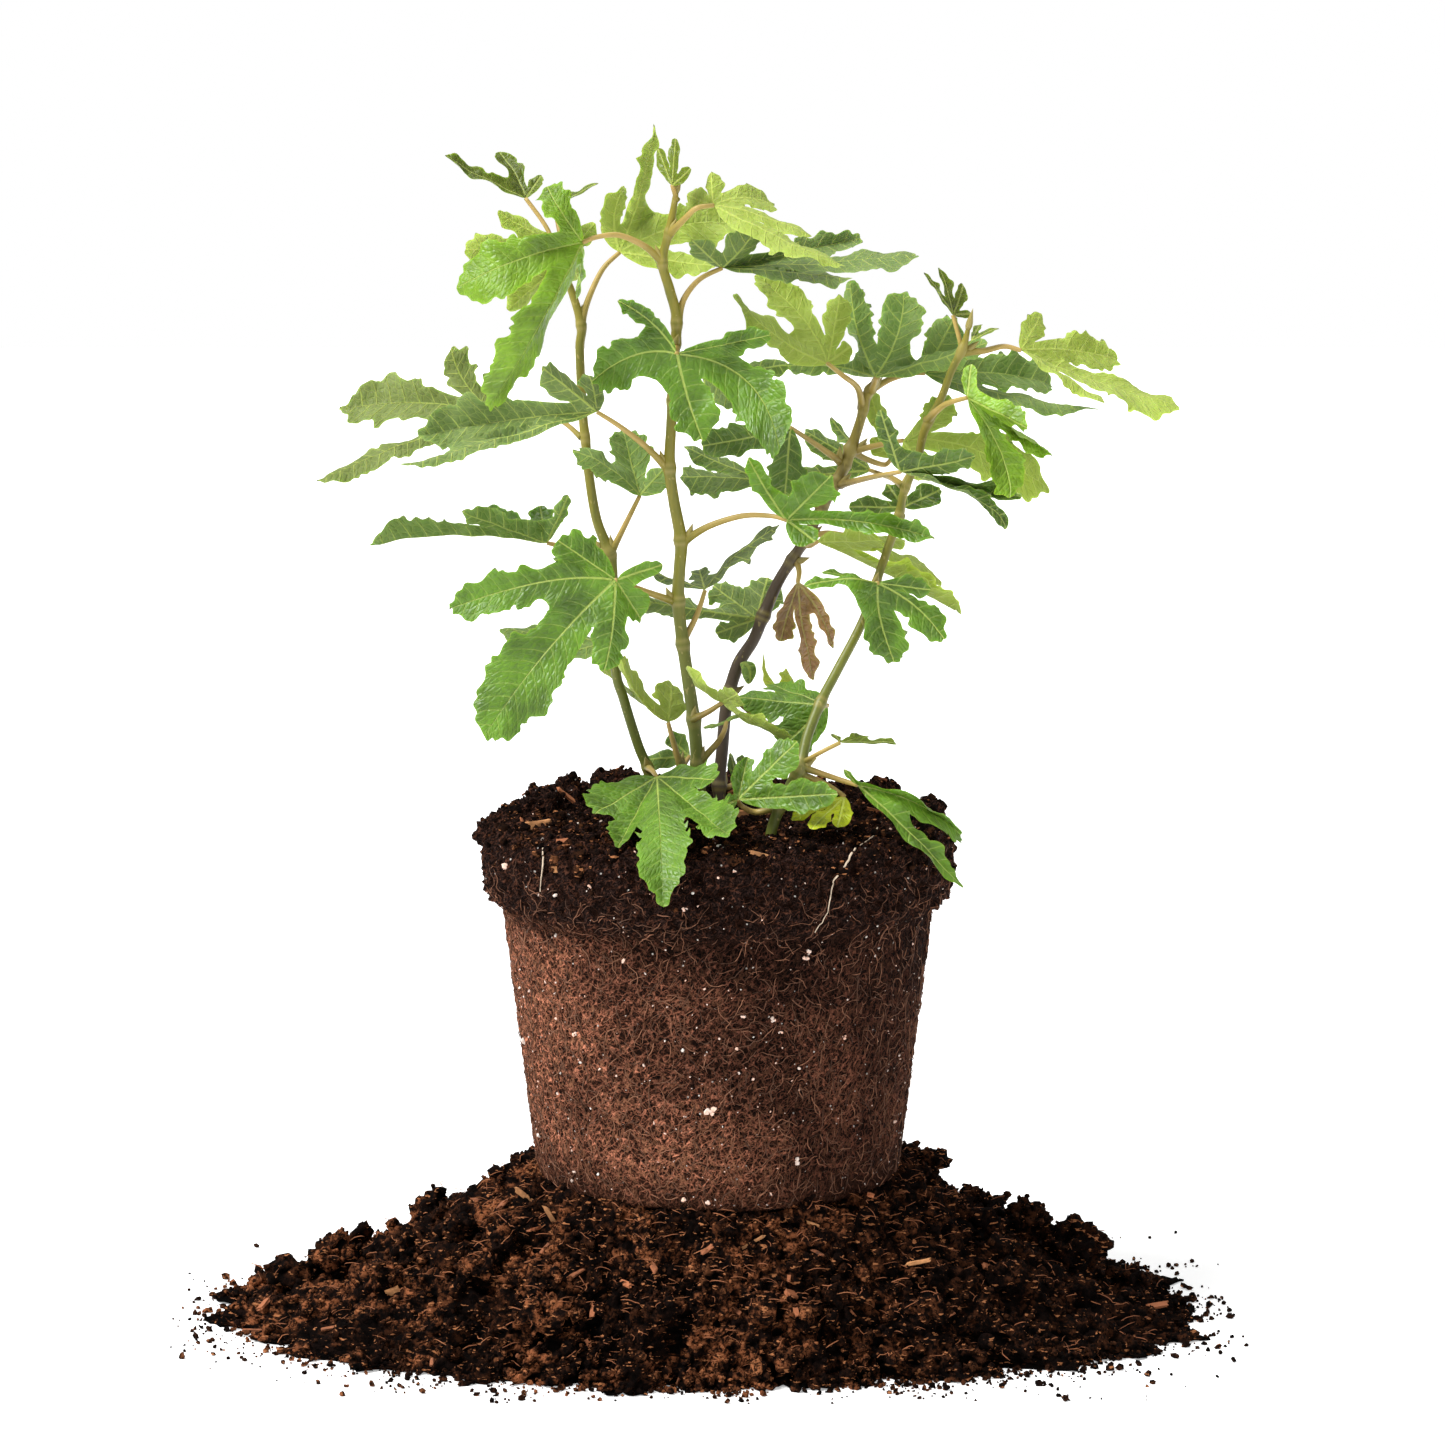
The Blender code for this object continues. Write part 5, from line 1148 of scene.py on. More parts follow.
    def rounded_outline(self, step):
        """The edge as a rounded line with small uneven teeth that lean toward the lobe's tip."""
        edge = self.outline()
        count = len(edge)
        line = []
        walked = 0.0
        for index in range(count):
            a, b = edge[index - 1], edge[index]
            c, d = edge[(index + 1) % count], edge[(index + 2) % count]
            pieces = max(2, round((c - b).length / step))
            out = Vector(((c - b).y, -(c - b).x)).normalized()
            for piece in range(pieces):
                t = piece / pieces
                at = on_curve(a, b, c, d, t)
                here = walked + t * (c - b).length
                uneven = noise.noise(Vector((here / 9.0, self.phase, index / 5.0)))
                turns = here / SMALL_TOOTH_LENGTH + 0.9 * uneven
                tooth = 1.0 - abs(2.0 * (turns % 1.0) - 1.0)
                tooth = tooth * tooth * (3.0 - 2.0 * tooth) - 0.45
                height = SMALL_TOOTH * (0.75 + 1.1 * noise.noise(Vector((self.phase, here / 5.0, 0.0))))
                line.append(at + out * height * tooth * self.toothed(at))
            walked += (c - b).length
        return line

    def flat_mesh(self, step, edge_step):
        """Flat points, triangles, and each point's distance from the blade's edge."""
        edge = self.rounded_outline(edge_step)
        points = list(edge)
        lines = []
        for index, rib in enumerate(self.ribs[:self.lobes]):
            before = 0
            count = int(rib.length * 0.97 / step)
            for number in range(1, count):
                points.append(self.on_lobe(index, 1, number * step, 0.0, None))
                lines.append((before, len(points) - 1))
                before = len(points) - 1
        points += inner_points(edge, points[len(edge):], step)
        flat, _, faces = delaunay_2d_cdt(points, lines, [list(range(len(edge)))], 1, 1e-6)[:3]
        return flat, [list(face) for face in faces], distance_to(np.array(flat), np.array(edge))


def distance_to(points, others):
    """Each point's distance to the nearest of the others."""
    nearest = np.full(len(points), FAR_AWAY)
    for start in range(0, len(others), 64):
        gaps = points[:, None, :] - others[None, start:start + 64, :]
        nearest = np.minimum(nearest, np.sqrt((gaps ** 2).sum(axis=2)).min(axis=1))
    return nearest


def inside(points, ring):
    """Which points lie inside a closed ring."""
    within = np.zeros(len(points), bool)
    for a, b in zip(ring, np.roll(ring, -1, axis=0)):
        crosses = (a[1] > points[:, 1]) != (b[1] > points[:, 1])
        height = b[1] - a[1] if abs(b[1] - a[1]) > 1e-12 else 1e-12
        within ^= crosses & (points[:, 0] < (b[0] - a[0]) * (points[:, 1] - a[1]) / height + a[0])
    return within


def inner_points(edge, taken, step):
    """An even scatter of points inside the edge, clear of it and of the points already taken."""
    ring = np.array(edge)
    low, high = ring.min(axis=0), ring.max(axis=0)
    rows = np.arange(low[1], high[1], step * ROW_SPACING)
    spots = []
    for number, y in enumerate(rows):
        shift = 0.5 * step * (number % 2)
        spots += [(x + shift, y) for x in np.arange(low[0], high[0], step)]
    spots = np.array(spots)
    spots = spots[inside(spots, ring)]
    spots = spots[distance_to(spots, ring) > step * CLEAR_OF_EDGE]
    if taken and len(spots):
        spots = spots[distance_to(spots, np.array(taken)) > step * CLEAR_OF_MIDRIB]
    return [Vector(spot) for spot in spots.tolist()]


def normals_of(points, faces):
    corners = np.array(faces)
    sides = points[corners]
    cross = np.cross(sides[:, 1] - sides[:, 0], sides[:, 2] - sides[:, 0])
    normals = np.zeros_like(points)
    for corner in range(3):
        np.add.at(normals, corners[:, corner], cross)
    return normals / np.maximum(np.linalg.norm(normals, axis=1), 1e-12)[:, None]


# Leaves whose finish is brighter than the slot that the frame gives them, for the painted light that falls on
# them
OTHER_LOOKS = {"leaf_right_1": "mature", "leaf_right_10": "bright", "leaf_tall_9": "bright"}


def build_leaf(name, leaf, seed, settings, materials):
    """A blade with both its sides, sharp at the edge, and its layout along the lobes for the veins."""
    blade = Blade(leaf, seed)
    flat, faces, from_edge = blade.flat_mesh(settings.step / MM, settings.edge_step / MM)
    middle = np.array([blade.in_space(point) for point in flat])
    lifts = np.array([blade.lift(point) for point in flat])
    middle = middle + normals_of(middle, faces) * lifts[:, None]
    puckers = np.array([blade.pucker(point, settings.pucker / MM) for point in flat])
    puckers *= np.clip(from_edge / PUCKER_FADE, 0.25, 1.0)
    normals = normals_of(middle, faces)
    ruffles = np.array([blade.ruffle(point, away) for point, away in zip(flat, from_edge)])
    middle = middle + normals * (puckers + ruffles)[:, None]
    half = 0.5 * settings.thickness / MM * np.clip(from_edge / EDGE_TAPER, 0.0, 1.0)
    on_edge = from_edge < 1e-4
    count = len(flat)
    under_of = np.arange(count)
    under_of[~on_edge] = count + np.arange((~on_edge).sum())
    points = np.vstack([middle + normals * half[:, None], (middle - normals * half[:, None])[~on_edge]])
    corners = np.array(faces)
    solid = np.vstack([corners, under_of[corners[:, ::-1]]]).tolist()
    look = OTHER_LOOKS.get(name, leaf.tone)
    piece = mesh_piece(name + "_blade", points, solid, [materials[look], materials[look + "_under"]])
    mesh = piece.data
    mesh.polygons.foreach_set("material_index", [0] * len(faces) + [1] * len(faces))
    lay_out_lobes(mesh, blade, flat, faces)
    rim = np.clip(1.0 - from_edge / RIM_WIDTH, 0.0, 1.0)
    point_values(piece, "rim", np.concatenate([rim, rim[~on_edge]]))
    tint = random.Random(seed + LEAF_TINT_SEED).uniform(0.0, LEAF_TINT)
    point_values(piece, "tint", [tint] * len(points))
    sharpen_edge(mesh)
    keep(piece, "leaf_" + leaf.tone, name)


def lay_out_lobes(mesh, blade, flat, faces):
    """Gives each corner where its side vein starts and how far left of the midrib it is, in millimetres."""
    layout = []
    for face in faces:
        centre = (flat[face[0]] + flat[face[1]] + flat[face[2]]) / 3
        _, side, index = blade.on_nearest_rib(centre)
        turn = Vector(polar(1.0, blade.angles[index]))
        corners = []
        for at in (flat[number] for number in face):
            left = at.y * turn.x - at.x * turn.y
            corners.append((blade.vein_start(at.dot(turn), left, math.copysign(1.0, side)), left))
        layout.append(corners)
    uv = mesh.uv_layers.new(name="lobe")
    both = layout + [corners[::-1] for corners in layout]
    uv.data.foreach_set("uv", np.array(both).reshape(-1))


def sharpen_edge(mesh):
    """Marks the blade's edge sharp, so that its two sides shade apart."""
    pairs = values_of(mesh.edges, "vertices", 2, int).tolist()
    materials = {}
    for polygon in mesh.polygons:
        for key in polygon.edge_keys:
            materials.setdefault(key, set()).add(polygon.material_index)
    sharp = [len(materials.get(tuple(sorted(pair)), ())) == 2 for pair in pairs]
    mesh.attributes.new("sharp_edge", "BOOLEAN", "EDGE").data.foreach_set("value", sharp)


# Stems


def smooth_line(points, steps):
    """Points on a curve through the given ones, a few for each stretch."""
    line = [points[0]]
    last = len(points) - 1
    for index in range(last):
        ends = points[max(index - 1, 0)], points[index], points[index + 1], points[min(index + 2, last)]
        line += [on_curve(*ends, step / steps) for step in range(1, steps + 1)]
    return line


class Tubes:
    """Points and faces of several closed tubes, with a few values for each ring."""

    def __init__(self):
        self.points = []
        self.faces = []
        self.values = {}

    def add(self, line, radii, sides, **values):
        """A tube along a line; each value is a number for the tube or a list with one for each ring."""
        start = len(self.points)
        side = None
        for index, point in enumerate(line):
            before, after = line[max(index - 1, 0)], line[min(index + 1, len(line) - 1)]
            along = (after - before).normalized()
            if side is None:
                side = along.orthogonal().normalized()
            side = (side - along * side.dot(along)).normalized()
            other = along.cross(side)
            for step in range(sides):
                turn = ROUND * step / sides
                self.points.append(point + (side * math.cos(turn) + other * math.sin(turn)) * radii[index])
            for name, value in values.items():
                here = value[index] if isinstance(value, list) else value
                self.values.setdefault(name, []).extend([here] * sides)
        for row in range(len(line) - 1):
            for step in range(sides):
                following = (step + 1) % sides
                low = start + row * sides
                self.faces.append([low + step, low + following, low + sides + following, low + sides + step])
        last = start + (len(line) - 1) * sides
        self.faces.append([start + step for step in range(sides)][::-1])
        self.faces.append([last + step for step in range(sides)])

    def add_thread(self, line, radius, end_share, chance, tint_power=1.0):
        """A thin thread with a tint of its own and a thinner end; a line of one or two points gives none."""
        if len(line) > 2:
            radii = [radius] * (len(line) - 1) + [radius * end_share]
            self.add(line, radii, THREAD_SIDES, tint=chance.random() ** tint_power)

    def piece(self, name, materials):
        obj = mesh_piece(name, self.points, self.faces, materials)
        for key, values in self.values.items():
            point_values(obj, key, values)
        return obj


def stem_line(stations):
    """A stem's smooth line from below the soil, and its radius at each point."""
    points = [seen(point) for point, _ in stations]
    radii = [radius for _, radius in stations]
    points.insert(0, Vector((points[0].x, points[0].y, STEM_FOOT)))
    radii.insert(0, radii[0])
    line = smooth_line(points, STEM_STEPS)
    places = np.linspace(0, len(radii) - 1, len(line))
    return line, np.interp(places, range(len(radii)), radii)


def add_stalk(tubes, start, bends, end, radius):
    """A leaf's stalk from inside the stem to its blade, wider at its foot."""
    line = smooth_line([start] + bends + [end], STALK_STEPS)
    count = len(line)
    radii = []
    for index in range(count):
        share = index / (count - 1)
        foot = STALK_FOOT_SWELL * math.exp(-share * STALK_FOOT_FADE)
        radii.append(radius * (1.0 + foot) * (1.0 - share) + PETIOLE_END_RADIUS * share)
    tubes.add(line, radii, PETIOLE_SIDES, stalk=[min(1.0, 3.0 * i / count) for i in range(count)], node=0.0)


def add_pointed_bud(tubes, foot, tip, radius):
    line = [foot.lerp(tip, share) for share, _ in BUD_SHAPE]
    tubes.add(line, [radius * share for _, share in BUD_SHAPE], PETIOLE_SIDES, stalk=0.0, node=0.8)


def build_stem(name, stations, petioles, materials):
    """A stem with a ring at each node, its leaves' stalks, a bud above each and a pointed tip."""
    line, radii = stem_line(stations)
    radii = radii.copy()
    nodes = np.zeros(len(line))
    tubes = Tubes()
    for leaf_name, route in petioles:
        start = seen(route[0])
        nearest = min(range(len(line)), key=lambda index: (line[index] - start).length)
        young = LEAVES[leaf_name].tone == "young"
        radius = PETIOLE_RADIUS * (YOUNG_SHARE if young else 1.0)
        bends = [seen(point) for point in route[1:]]
        end = seen(LEAVES[leaf_name].base)
        add_stalk(tubes, start, bends, end, radius)
        for index, point in enumerate(line):
            away = (point - line[nearest]).length
            swell = math.exp(-(away / NODE_LENGTH) ** 2)
            radii[index] *= 1.0 + NODE_SWELL * swell * (0.5 if young else 1.0)
            ring = NODE_TONE * math.exp(-((away - NODE_RING_AT) / NODE_RING_WIDTH) ** 2)
            nodes[index] = max(nodes[index], ring)
        if young:
            continue
        along = (line[min(nearest + 1, len(line) - 1)] - line[nearest - 1]).normalized()
        outward = ((bends[0] if bends else end) - start).normalized()
        foot = start + outward * radii[nearest] * 0.5 + along * 0.6
        tip = foot + (along + outward * 0.7).normalized() * BUD_LENGTH
        add_pointed_bud(tubes, foot, tip, BUD_RADIUS)
    tubes.add(line, radii.tolist(), STEM_SIDES, stalk=0.0, node=nodes.tolist())
    if name != "shoot_low":
        along = (line[-1] - line[-3]).normalized()
        tip = line[-1] + along * TIP_LENGTH
        add_pointed_bud(tubes, line[-1] - along, tip, max(radii[-1], 1.0) * BUD_RADIUS)
    woody = name == "stem_woody"
    piece = tubes.piece(name + "_fine", [materials["woody" if woody else "green"]])
    keep(piece, "stem_bark" if woody else "stem_green", name)


# Root ball


# Radius and height up the ball's side, from its bottom edge to its soil
BALL_PROFILE = [
    (BALL_BOTTOM_RADIUS - 3.0, BALL_BOTTOM),
    (BALL_BOTTOM_RADIUS, BALL_BOTTOM + 3.0),
    (BALL_BOTTOM_RADIUS + 1.6, BALL_BOTTOM + 16.0),
    (BALL_BOTTOM_RADIUS + 5.0, BALL_BOTTOM + 44.0),
    (BALL_BOTTOM_RADIUS + 8.5, BALL_BOTTOM + 72.0),
    (BALL_NECK_RADIUS, BALL_NECK_HEIGHT),
    (RIM_RADIUS - 1.0, RIM_BOTTOM),
    (RIM_RADIUS, RIM_BOTTOM + 8.0),
    (RIM_RADIUS - 0.5, RIM_TOP),
    (RIM_RADIUS - 4.0, RIM_TOP + 5.0),
    (RIM_RADIUS - 14.0, SOIL_LEVEL),
    (RIM_RADIUS - 34.0, SOIL_LEVEL),
    (RIM_RADIUS - 55.0, SOIL_LEVEL),
    (2.0, SOIL_LEVEL),
]
# Centre and radius of each lump on the ball's top edge
RIM_CLODS = [
    ((-62, 10, 184), 7.5), ((-54, 30, 184), 7.5), ((-37, 46, 183), 9.0), ((-77, -6, 176), 8.0),
    ((75, 14, 180), 6.0), ((58, 42, 181), 6.5), ((8, 62, 182), 6.0), ((36, 26, 181), 5.5),
]
# Place and radius of each clod on the heap
HEAP_CLODS = [
    ((-152, 4), 10.0), ((-136, 4), 10.5), ((-110, -22), 7.0), ((-90, -24), 6.5), ((-118, -38), 8.0),
    ((-60, -76), 9.0), ((-84, -50), 8.0), ((-18, -84), 6.5), ((30, -82), 7.0), ((72, -70), 8.5),
    ((111, 10), 10.0), ((127, 4), 12.0), ((147, -2), 7.0), ((102, -44), 8.0), ((91, 12), 6.0),
    ((76, 22), 7.5), ((-74, -44), 7.0), ((0, 88), 8.0), ((-50, 84), 8.5), ((56, 82), 8.5),
    ((98, 56), 8.0), ((-104, 50), 8.0),
]
CLOD_STANDS_OUT = 0.4
CLOD_FLATNESS = 0.8
# Spacing, height, pattern and middle level of each roughness, the coarse ones first
BALL_RELIEF = [(8.0, 3.4, "CLOUDS", 0.5), (3.6, -3.2, "VORONOI", 0.5), (1.4, 2.2, "CLOUDS", 0.5)]
HEAP_RELIEF = [
    (16.0, 4.0, "CLOUDS", 0.5), (5.5, -5.0, "VORONOI", 0.25), (3.2, 3.6, "CLOUDS", 0.5),
    (1.5, 3.0, "CLOUDS", 0.5),
]
# Mesh of the ball, and the push of its lumps
BALL_SIDES = 104
RIM_CLOD_SEED = 20
CLOD_UNEVENNESS = 0.35
CLOD_LUMPS = 1.3
BALL_MESH_STEP = 4.6
SIDE_ROUGHNESS = 0.35


def spread_profile(profile, longest):
    """The profile with points added where two lie further apart than this."""
    spread = [profile[0]]
    for a, b in zip(profile, profile[1:]):
        pieces = max(1, math.ceil(math.dist(a, b) / longest))
        for piece in range(1, pieces + 1):
            share = piece / pieces
            spread.append((a[0] + (b[0] - a[0]) * share, a[1] + (b[1] - a[1]) * share))
    return spread


def turned(name, profile, sides):
    """A round shell drawn up ring by ring through a profile, with both its ends closed."""
    radius, height = profile[0]
    deselect()
    bpy.ops.mesh.primitive_circle_add(vertices=sides, radius=radius * MM, location=(0.0, 0.0, height * MM))
    obj = bpy.context.object
    obj.name = name
    bpy.ops.object.transform_apply(location=True, rotation=True, scale=True)
    with editing():
        bpy.ops.mesh.edge_face_add()
        for (before, low), (after, high) in zip(profile, profile[1:]):
            bpy.ops.mesh.extrude_region_move(
                TRANSFORM_OT_translate={"value": (0.0, 0.0, (high - low) * MM)},
            )
            bpy.ops.transform.resize(value=(after / before, after / before, 1.0))
        bpy.ops.mesh.select_all(action="SELECT")
        bpy.ops.mesh.normals_make_consistent(inside=False)
    bpy.ops.object.shade_smooth()
    return obj


def add_clod(name, centre, radius, seed):
    """A lump of soil from a round primitive, pushed as in the frame and made crumbly."""
    deselect()
    bpy.ops.mesh.primitive_ico_sphere_add(subdivisions=4, radius=1.0)
    clod = bpy.context.object
    clod.name = name
    offset = Vector((seed * 7.3, seed * 3.1, seed * 1.7))
    for vert in clod.data.vertices:
        push = radius * (1.0 + CLOD_UNEVENNESS * noise.noise(vert.co * CLOD_LUMPS + offset))
        flat = Vector((vert.co.x, vert.co.y, vert.co.z * CLOD_FLATNESS))
        vert.co = (Vector(centre) + flat * push) * MM
    return clod


def join_pieces(target, others):
    make_active(target)
    for other in others:
        other.select_set(True)
    bpy.ops.object.join()
    return bpy.context.object


def surface_of(obj):
    """A search tree over a piece's finished faces, in millimetres."""
    points = [vert.co / MM for vert in obj.data.vertices]
    return BVHTree.FromPolygons(points, [list(polygon.vertices) for polygon in obj.data.polygons])


def build_root_ball(materials):
    """The ball's matted side, its rim and its crumbly top, over the plain solid."""
    ball = turned("root_ball_mat", spread_profile(BALL_PROFILE, BALL_MESH_STEP), BALL_SIDES)
    apply_modifier(ball, "SUBSURF", levels=2, render_levels=2)
    clods = []
    for number, (centre, radius) in enumerate(RIM_CLODS):
        clods.append(add_clod(f"rim_lump_{number}", centre, radius, number + RIM_CLOD_SEED))
    ball = join_pieces(ball, clods)
    heights = np.array([vert.co.z for vert in ball.data.vertices]) / MM
    group = ball.vertex_groups.new(name="rough")
    for index, height in enumerate(heights):
        group.add([index], SIDE_ROUGHNESS if height < RIM_BOTTOM - 2.0 else 1.0, "REPLACE")
    roughen(ball, BALL_RELIEF, group="rough")
    mark_crevice_shade(ball, rounds=6, depth=0.7)
    cover(ball, materials["ball"])
    point_values(ball, "rim", np.clip((heights - RIM_BOTTOM + 4.0) / 6.0, 0.0, 1.0))
    keep(ball, "root_mat", "root_ball")
    return ball


# Loose grains, chips and fibres

# Seed of each kind of random draw
SEEDS = {
    "perlite": 11, "roots": 23, "ball_crumbs": 31, "heap_crumbs": 41, "chips": 53, "clumps": 59, "fibres": 67,
}
# Where the rays that look for a surface start: beside the ball, above all, and in front
RAY_START = 120.0
ABOVE_ALL = 300.0
IN_FRONT = -80.0


def rough_shapes(kinds, offset, seed, add_primitive, cuts=0, **settings):
    """A few small uneven lumps about one unit in radius, each as points and triangles."""
    shapes = []
    for kind in range(kinds):
        deselect()
        add_primitive(**settings)
        lump = bpy.context.object
        with editing():
            if cuts:
                bpy.ops.mesh.subdivide(number_cuts=cuts)
            bpy.ops.transform.vertex_random(offset=offset, seed=seed + kind)
        apply_modifier(lump, "TRIANGULATE")
        points = np.array([vert.co for vert in lump.data.vertices])
        shapes.append((points, np.array([polygon.vertices for polygon in lump.data.polygons])))
        bpy.data.objects.remove(lump, do_unlink=True)
    return shapes


def grain_shapes(kinds, subdivisions, roughness, seed):
    return rough_shapes(
        kinds, roughness, seed, bpy.ops.mesh.primitive_ico_sphere_add, subdivisions=subdivisions, radius=1.0,
    )


def chip_shapes():
    """A few flat splinters of bark."""
    cube = bpy.ops.mesh.primitive_cube_add
    return rough_shapes(kinds=4, offset=0.32, seed=70, add_primitive=cube, cuts=2, size=2.0)


def spun(angle):
    """A turn about Z as a matrix."""
    cosine, sine = math.cos(angle), math.sin(angle)
    return np.array([[cosine, -sine, 0], [sine, cosine, 0], [0, 0, 1]])


def lean_on(normal):
    """The matrix that turns Z to a surface's normal."""
    return np.array(normal.to_track_quat("Z", "Y").to_matrix())


def turned_randomly(chance):
    """A random turn as a matrix."""
    axis = Vector((chance.gauss(0, 1), chance.gauss(0, 1), chance.gauss(0, 1))).normalized()
    return lean_on(axis) @ spun(chance.uniform(0, ABOUT_ROUND))


def any_turn(chance):
    return chance.uniform(0, ROUND)


def uneven(chance, size, low, high):
    """A size for each axis, each a random share of this one."""
    return [size * chance.uniform(low, high) for _ in range(3)]


class Scatter:
    """Many small lumps gathered in one piece, each with its own size, turn and tint."""

    def __init__(self, shapes):
        self.shapes = shapes
        self.points = []
        self.faces = []
        self.tints = []

    def add(self, place, sizes, turn, kind, tint):
        points, faces = self.shapes[kind % len(self.shapes)]
        self.points.append((points * np.array(sizes)) @ turn.T + np.array(place))
        self.faces.append(faces + len(self.tints))
        self.tints += [tint] * len(points)

    def piece(self, name, materials):
        faces = np.vstack(self.faces).tolist()
        obj = mesh_piece(name, np.vstack(self.points), faces, materials, smooth=False)
        point_values(obj, "tint", self.tints)
        return obj


def ball_spot(tree, turn, height):
    """The ball's surface, seen from outside at this turn and height."""
    around = Vector((*polar(1.0, turn), 0.0))
    return tree.ray_cast(around * RAY_START + Vector((0.0, 0.0, height)), -around)[:2]


def seen_spot(tree, across, up):
    """The nearest surface that shows at this point of the front view."""
    towards = (seen((across, up, IN_FRONT)) - eye()).normalized()
    return tree.ray_cast(eye(), towards)[:2]


def ground_spot(tree, x, y):
    """What a grain that falls at x, y lands on."""
    place, normal = tree.ray_cast(Vector((x, y, ABOVE_ALL)), Vector((0.0, 0.0, -1.0)))[:2]
    if place is None:
        return Vector((x, y, 0.0)), Vector((0.0, 0.0, 1.0))
    return place, normal


# Across, up and radius of the larger perlite lumps that show on the ball's front
PERLITE_LUMPS = [
    (-2.5, 75, 2.2), (30.3, 128.8, 1.3), (31.6, 131.2, 1.1), (-12, 146, 1.2), (28, 57, 1.9),
    (-50, 102, 1.0), (9, 108, 1.0), (19, 107, 1.2), (22, 103, 1.0), (44, 101, 1.1), (6, 159, 1.0),
    (-45, 154, 1.0), (-4, 43, 1.3), (-12, 44, 1.2),
]
GRAINS_IN_LUMP = 5
# Heights of the grains and roots on the ball's side, and how far from its axis things lie on its top
PERLITE_BAND = (56.0, 178.0)
PERLITE_REACH = 78.0
ROOT_BAND = (53.0, 180.0)
CRUMBS_REACH = 83.0
CHIPS_REACH = 76.0
ROOT_STEP = 1.5
# Across and up of the pale roots that show on the ball's front
PALE_ROOTS = [
    [(48, 167), (43, 159), (40, 155), (38.5, 146), (34, 138)],
    [(-61, 167), (-61.5, 160), (-62, 152)],
    [(57, 176), (54, 171), (50, 168)],
]


def build_perlite(settings, materials, tree):
    """White grains pressed into the ball's side, with a few on its top."""
    chance = random.Random(SEEDS["perlite"])
    grains = Scatter(grain_shapes(kinds=8, subdivisions=1, roughness=0.35, seed=3))
    for number in range(settings.perlite):
        if number % 6:
            place, _ = ball_spot(tree, any_turn(chance), chance.uniform(*PERLITE_BAND))
        else:
            place, _ = ground_spot(tree, *polar(PERLITE_REACH * math.sqrt(chance.random()), any_turn(chance)))
        if place is None:
            continue
        size = min(0.18 + 0.22 * chance.expovariate(1.5), 1.3)
        sizes = uneven(chance, size, 0.5, 1.4)
        grains.add(place, sizes, turned_randomly(chance), number, chance.uniform(0.0, 0.5))
    for number, (across, up, size) in enumerate(PERLITE_LUMPS):
        place, _ = seen_spot(tree, across, up)
        for _ in range(GRAINS_IN_LUMP):
            part = size * chance.uniform(0.35, 0.6)
            aside = Vector((chance.gauss(0, 0.4), 0.0, chance.gauss(0, 0.3))) * size
            turn = turned_randomly(chance)
            grains.add(place + aside, (part, part, part), turn, number, chance.uniform(0.1, 0.6))
    keep(grains.piece("perlite_grains", [materials["perlite"]]), "root_mat")


def build_ball_roots(settings, materials, tree):
    """Fine roots that wander over the ball's side, and a few thicker pale ones."""
    chance = random.Random(SEEDS["roots"])
    tubes, pale = Tubes(), Tubes()
    for _ in range(settings.roots):
        turn, height = any_turn(chance), chance.uniform(54.0, 160.0 + 16.0 * chance.random() ** 2)
        heading = any_turn(chance)
        radius = chance.uniform(0.10, 0.20)
        line = []
        for _ in range(chance.randint(3, 7)):
            place, normal = ball_spot(tree, turn, height)
            if place is not None:
                line.append(place + normal * (radius + chance.uniform(0.0, 0.25)))
            turn += math.cos(heading) * ROOT_STEP / RIM_RADIUS
            height += math.sin(heading) * ROOT_STEP
            heading += chance.gauss(0.0, 0.35)
            if not ROOT_BAND[0] < height < ROOT_BAND[1]:
                break
        tubes.add_thread(line, radius, 0.3, chance)
    for route in PALE_ROOTS:
        line = []
        for point in smooth_line([Vector((*spot, 0.0)) for spot in route], 8):
            place, normal = seen_spot(tree, point.x, point.y)
            line.append(place + normal * 0.5)
        pale.add(line, [0.38 - 0.24 * index / len(line) for index in range(len(line))], 6)
    keep(tubes.piece("fine_roots", [materials["fine_root"]]), "root_mat")
    keep(pale.piece("pale_roots", [materials["pale_root"]]), "root_mat")


def build_ball_crumbs(settings, materials, tree):
    """Crumbs on the ball's top and over its rim."""
    chance = random.Random(SEEDS["ball_crumbs"])
    crumbs = Scatter(grain_shapes(kinds=8, subdivisions=1, roughness=0.35, seed=13))
    for number in range(settings.crumbs):
        place, normal = ground_spot(tree, *polar(CRUMBS_REACH * chance.random() ** 0.4, any_turn(chance)))
        if place.z < RIM_BOTTOM:
            continue
        size = min(0.4 + chance.expovariate(1.9), 2.6)
        sizes = uneven(chance, size, 0.6, 1.1)
        lifted = place + normal * size * 0.2
        crumbs.add(lifted, sizes, turned_randomly(chance), number, 0.6 * chance.random() ** 5)
    keep(crumbs.piece("ball_top_crumbs", [materials["rim_soil"]]), "root_mat")


# Soil heap

# Mesh of the heap, from its edge to under the ball's foot
HEAP_INNER_RADIUS = 58.0
HEAP_RINGS = 24
HEAP_SIDES = 164
FLAT_RADIUS = 90.0
RAGGED_EDGE = 0.10
CLUMPS = 290
# How far the looks may pass the plain box on each side, and what loose crumbs leave of it
ALLOWED_SHARE = 0.03
ALLOWED_EXTRA = 10.0
LOOSE_CRUMB_MARGIN = 3.0
# A crumb that lands lower than this lies on the floor
ON_FLOOR = 0.05
# Light splinters that show at the front: on the ball's top or not, across, up, length, width and slope
LIGHT_CHIPS = [
    (True, -63, 175.5, 9, 3, 8), (True, 11, 178, 12, 4.5, -4), (True, 15.5, 165, 8, 1.2, -15),
    (True, -57, 160, 2.5, 2, 0), (False, -66, 44, 12, 1.8, -38), (False, -58, 37, 10, 1.6, -60),
    (False, -114, 11, 5, 4, 20), (False, 32, 36, 7, 1.0, -20), (False, 12, 29, 9, 1.0, 30),
    (False, 70, 22, 8, 1.2, 12),
]


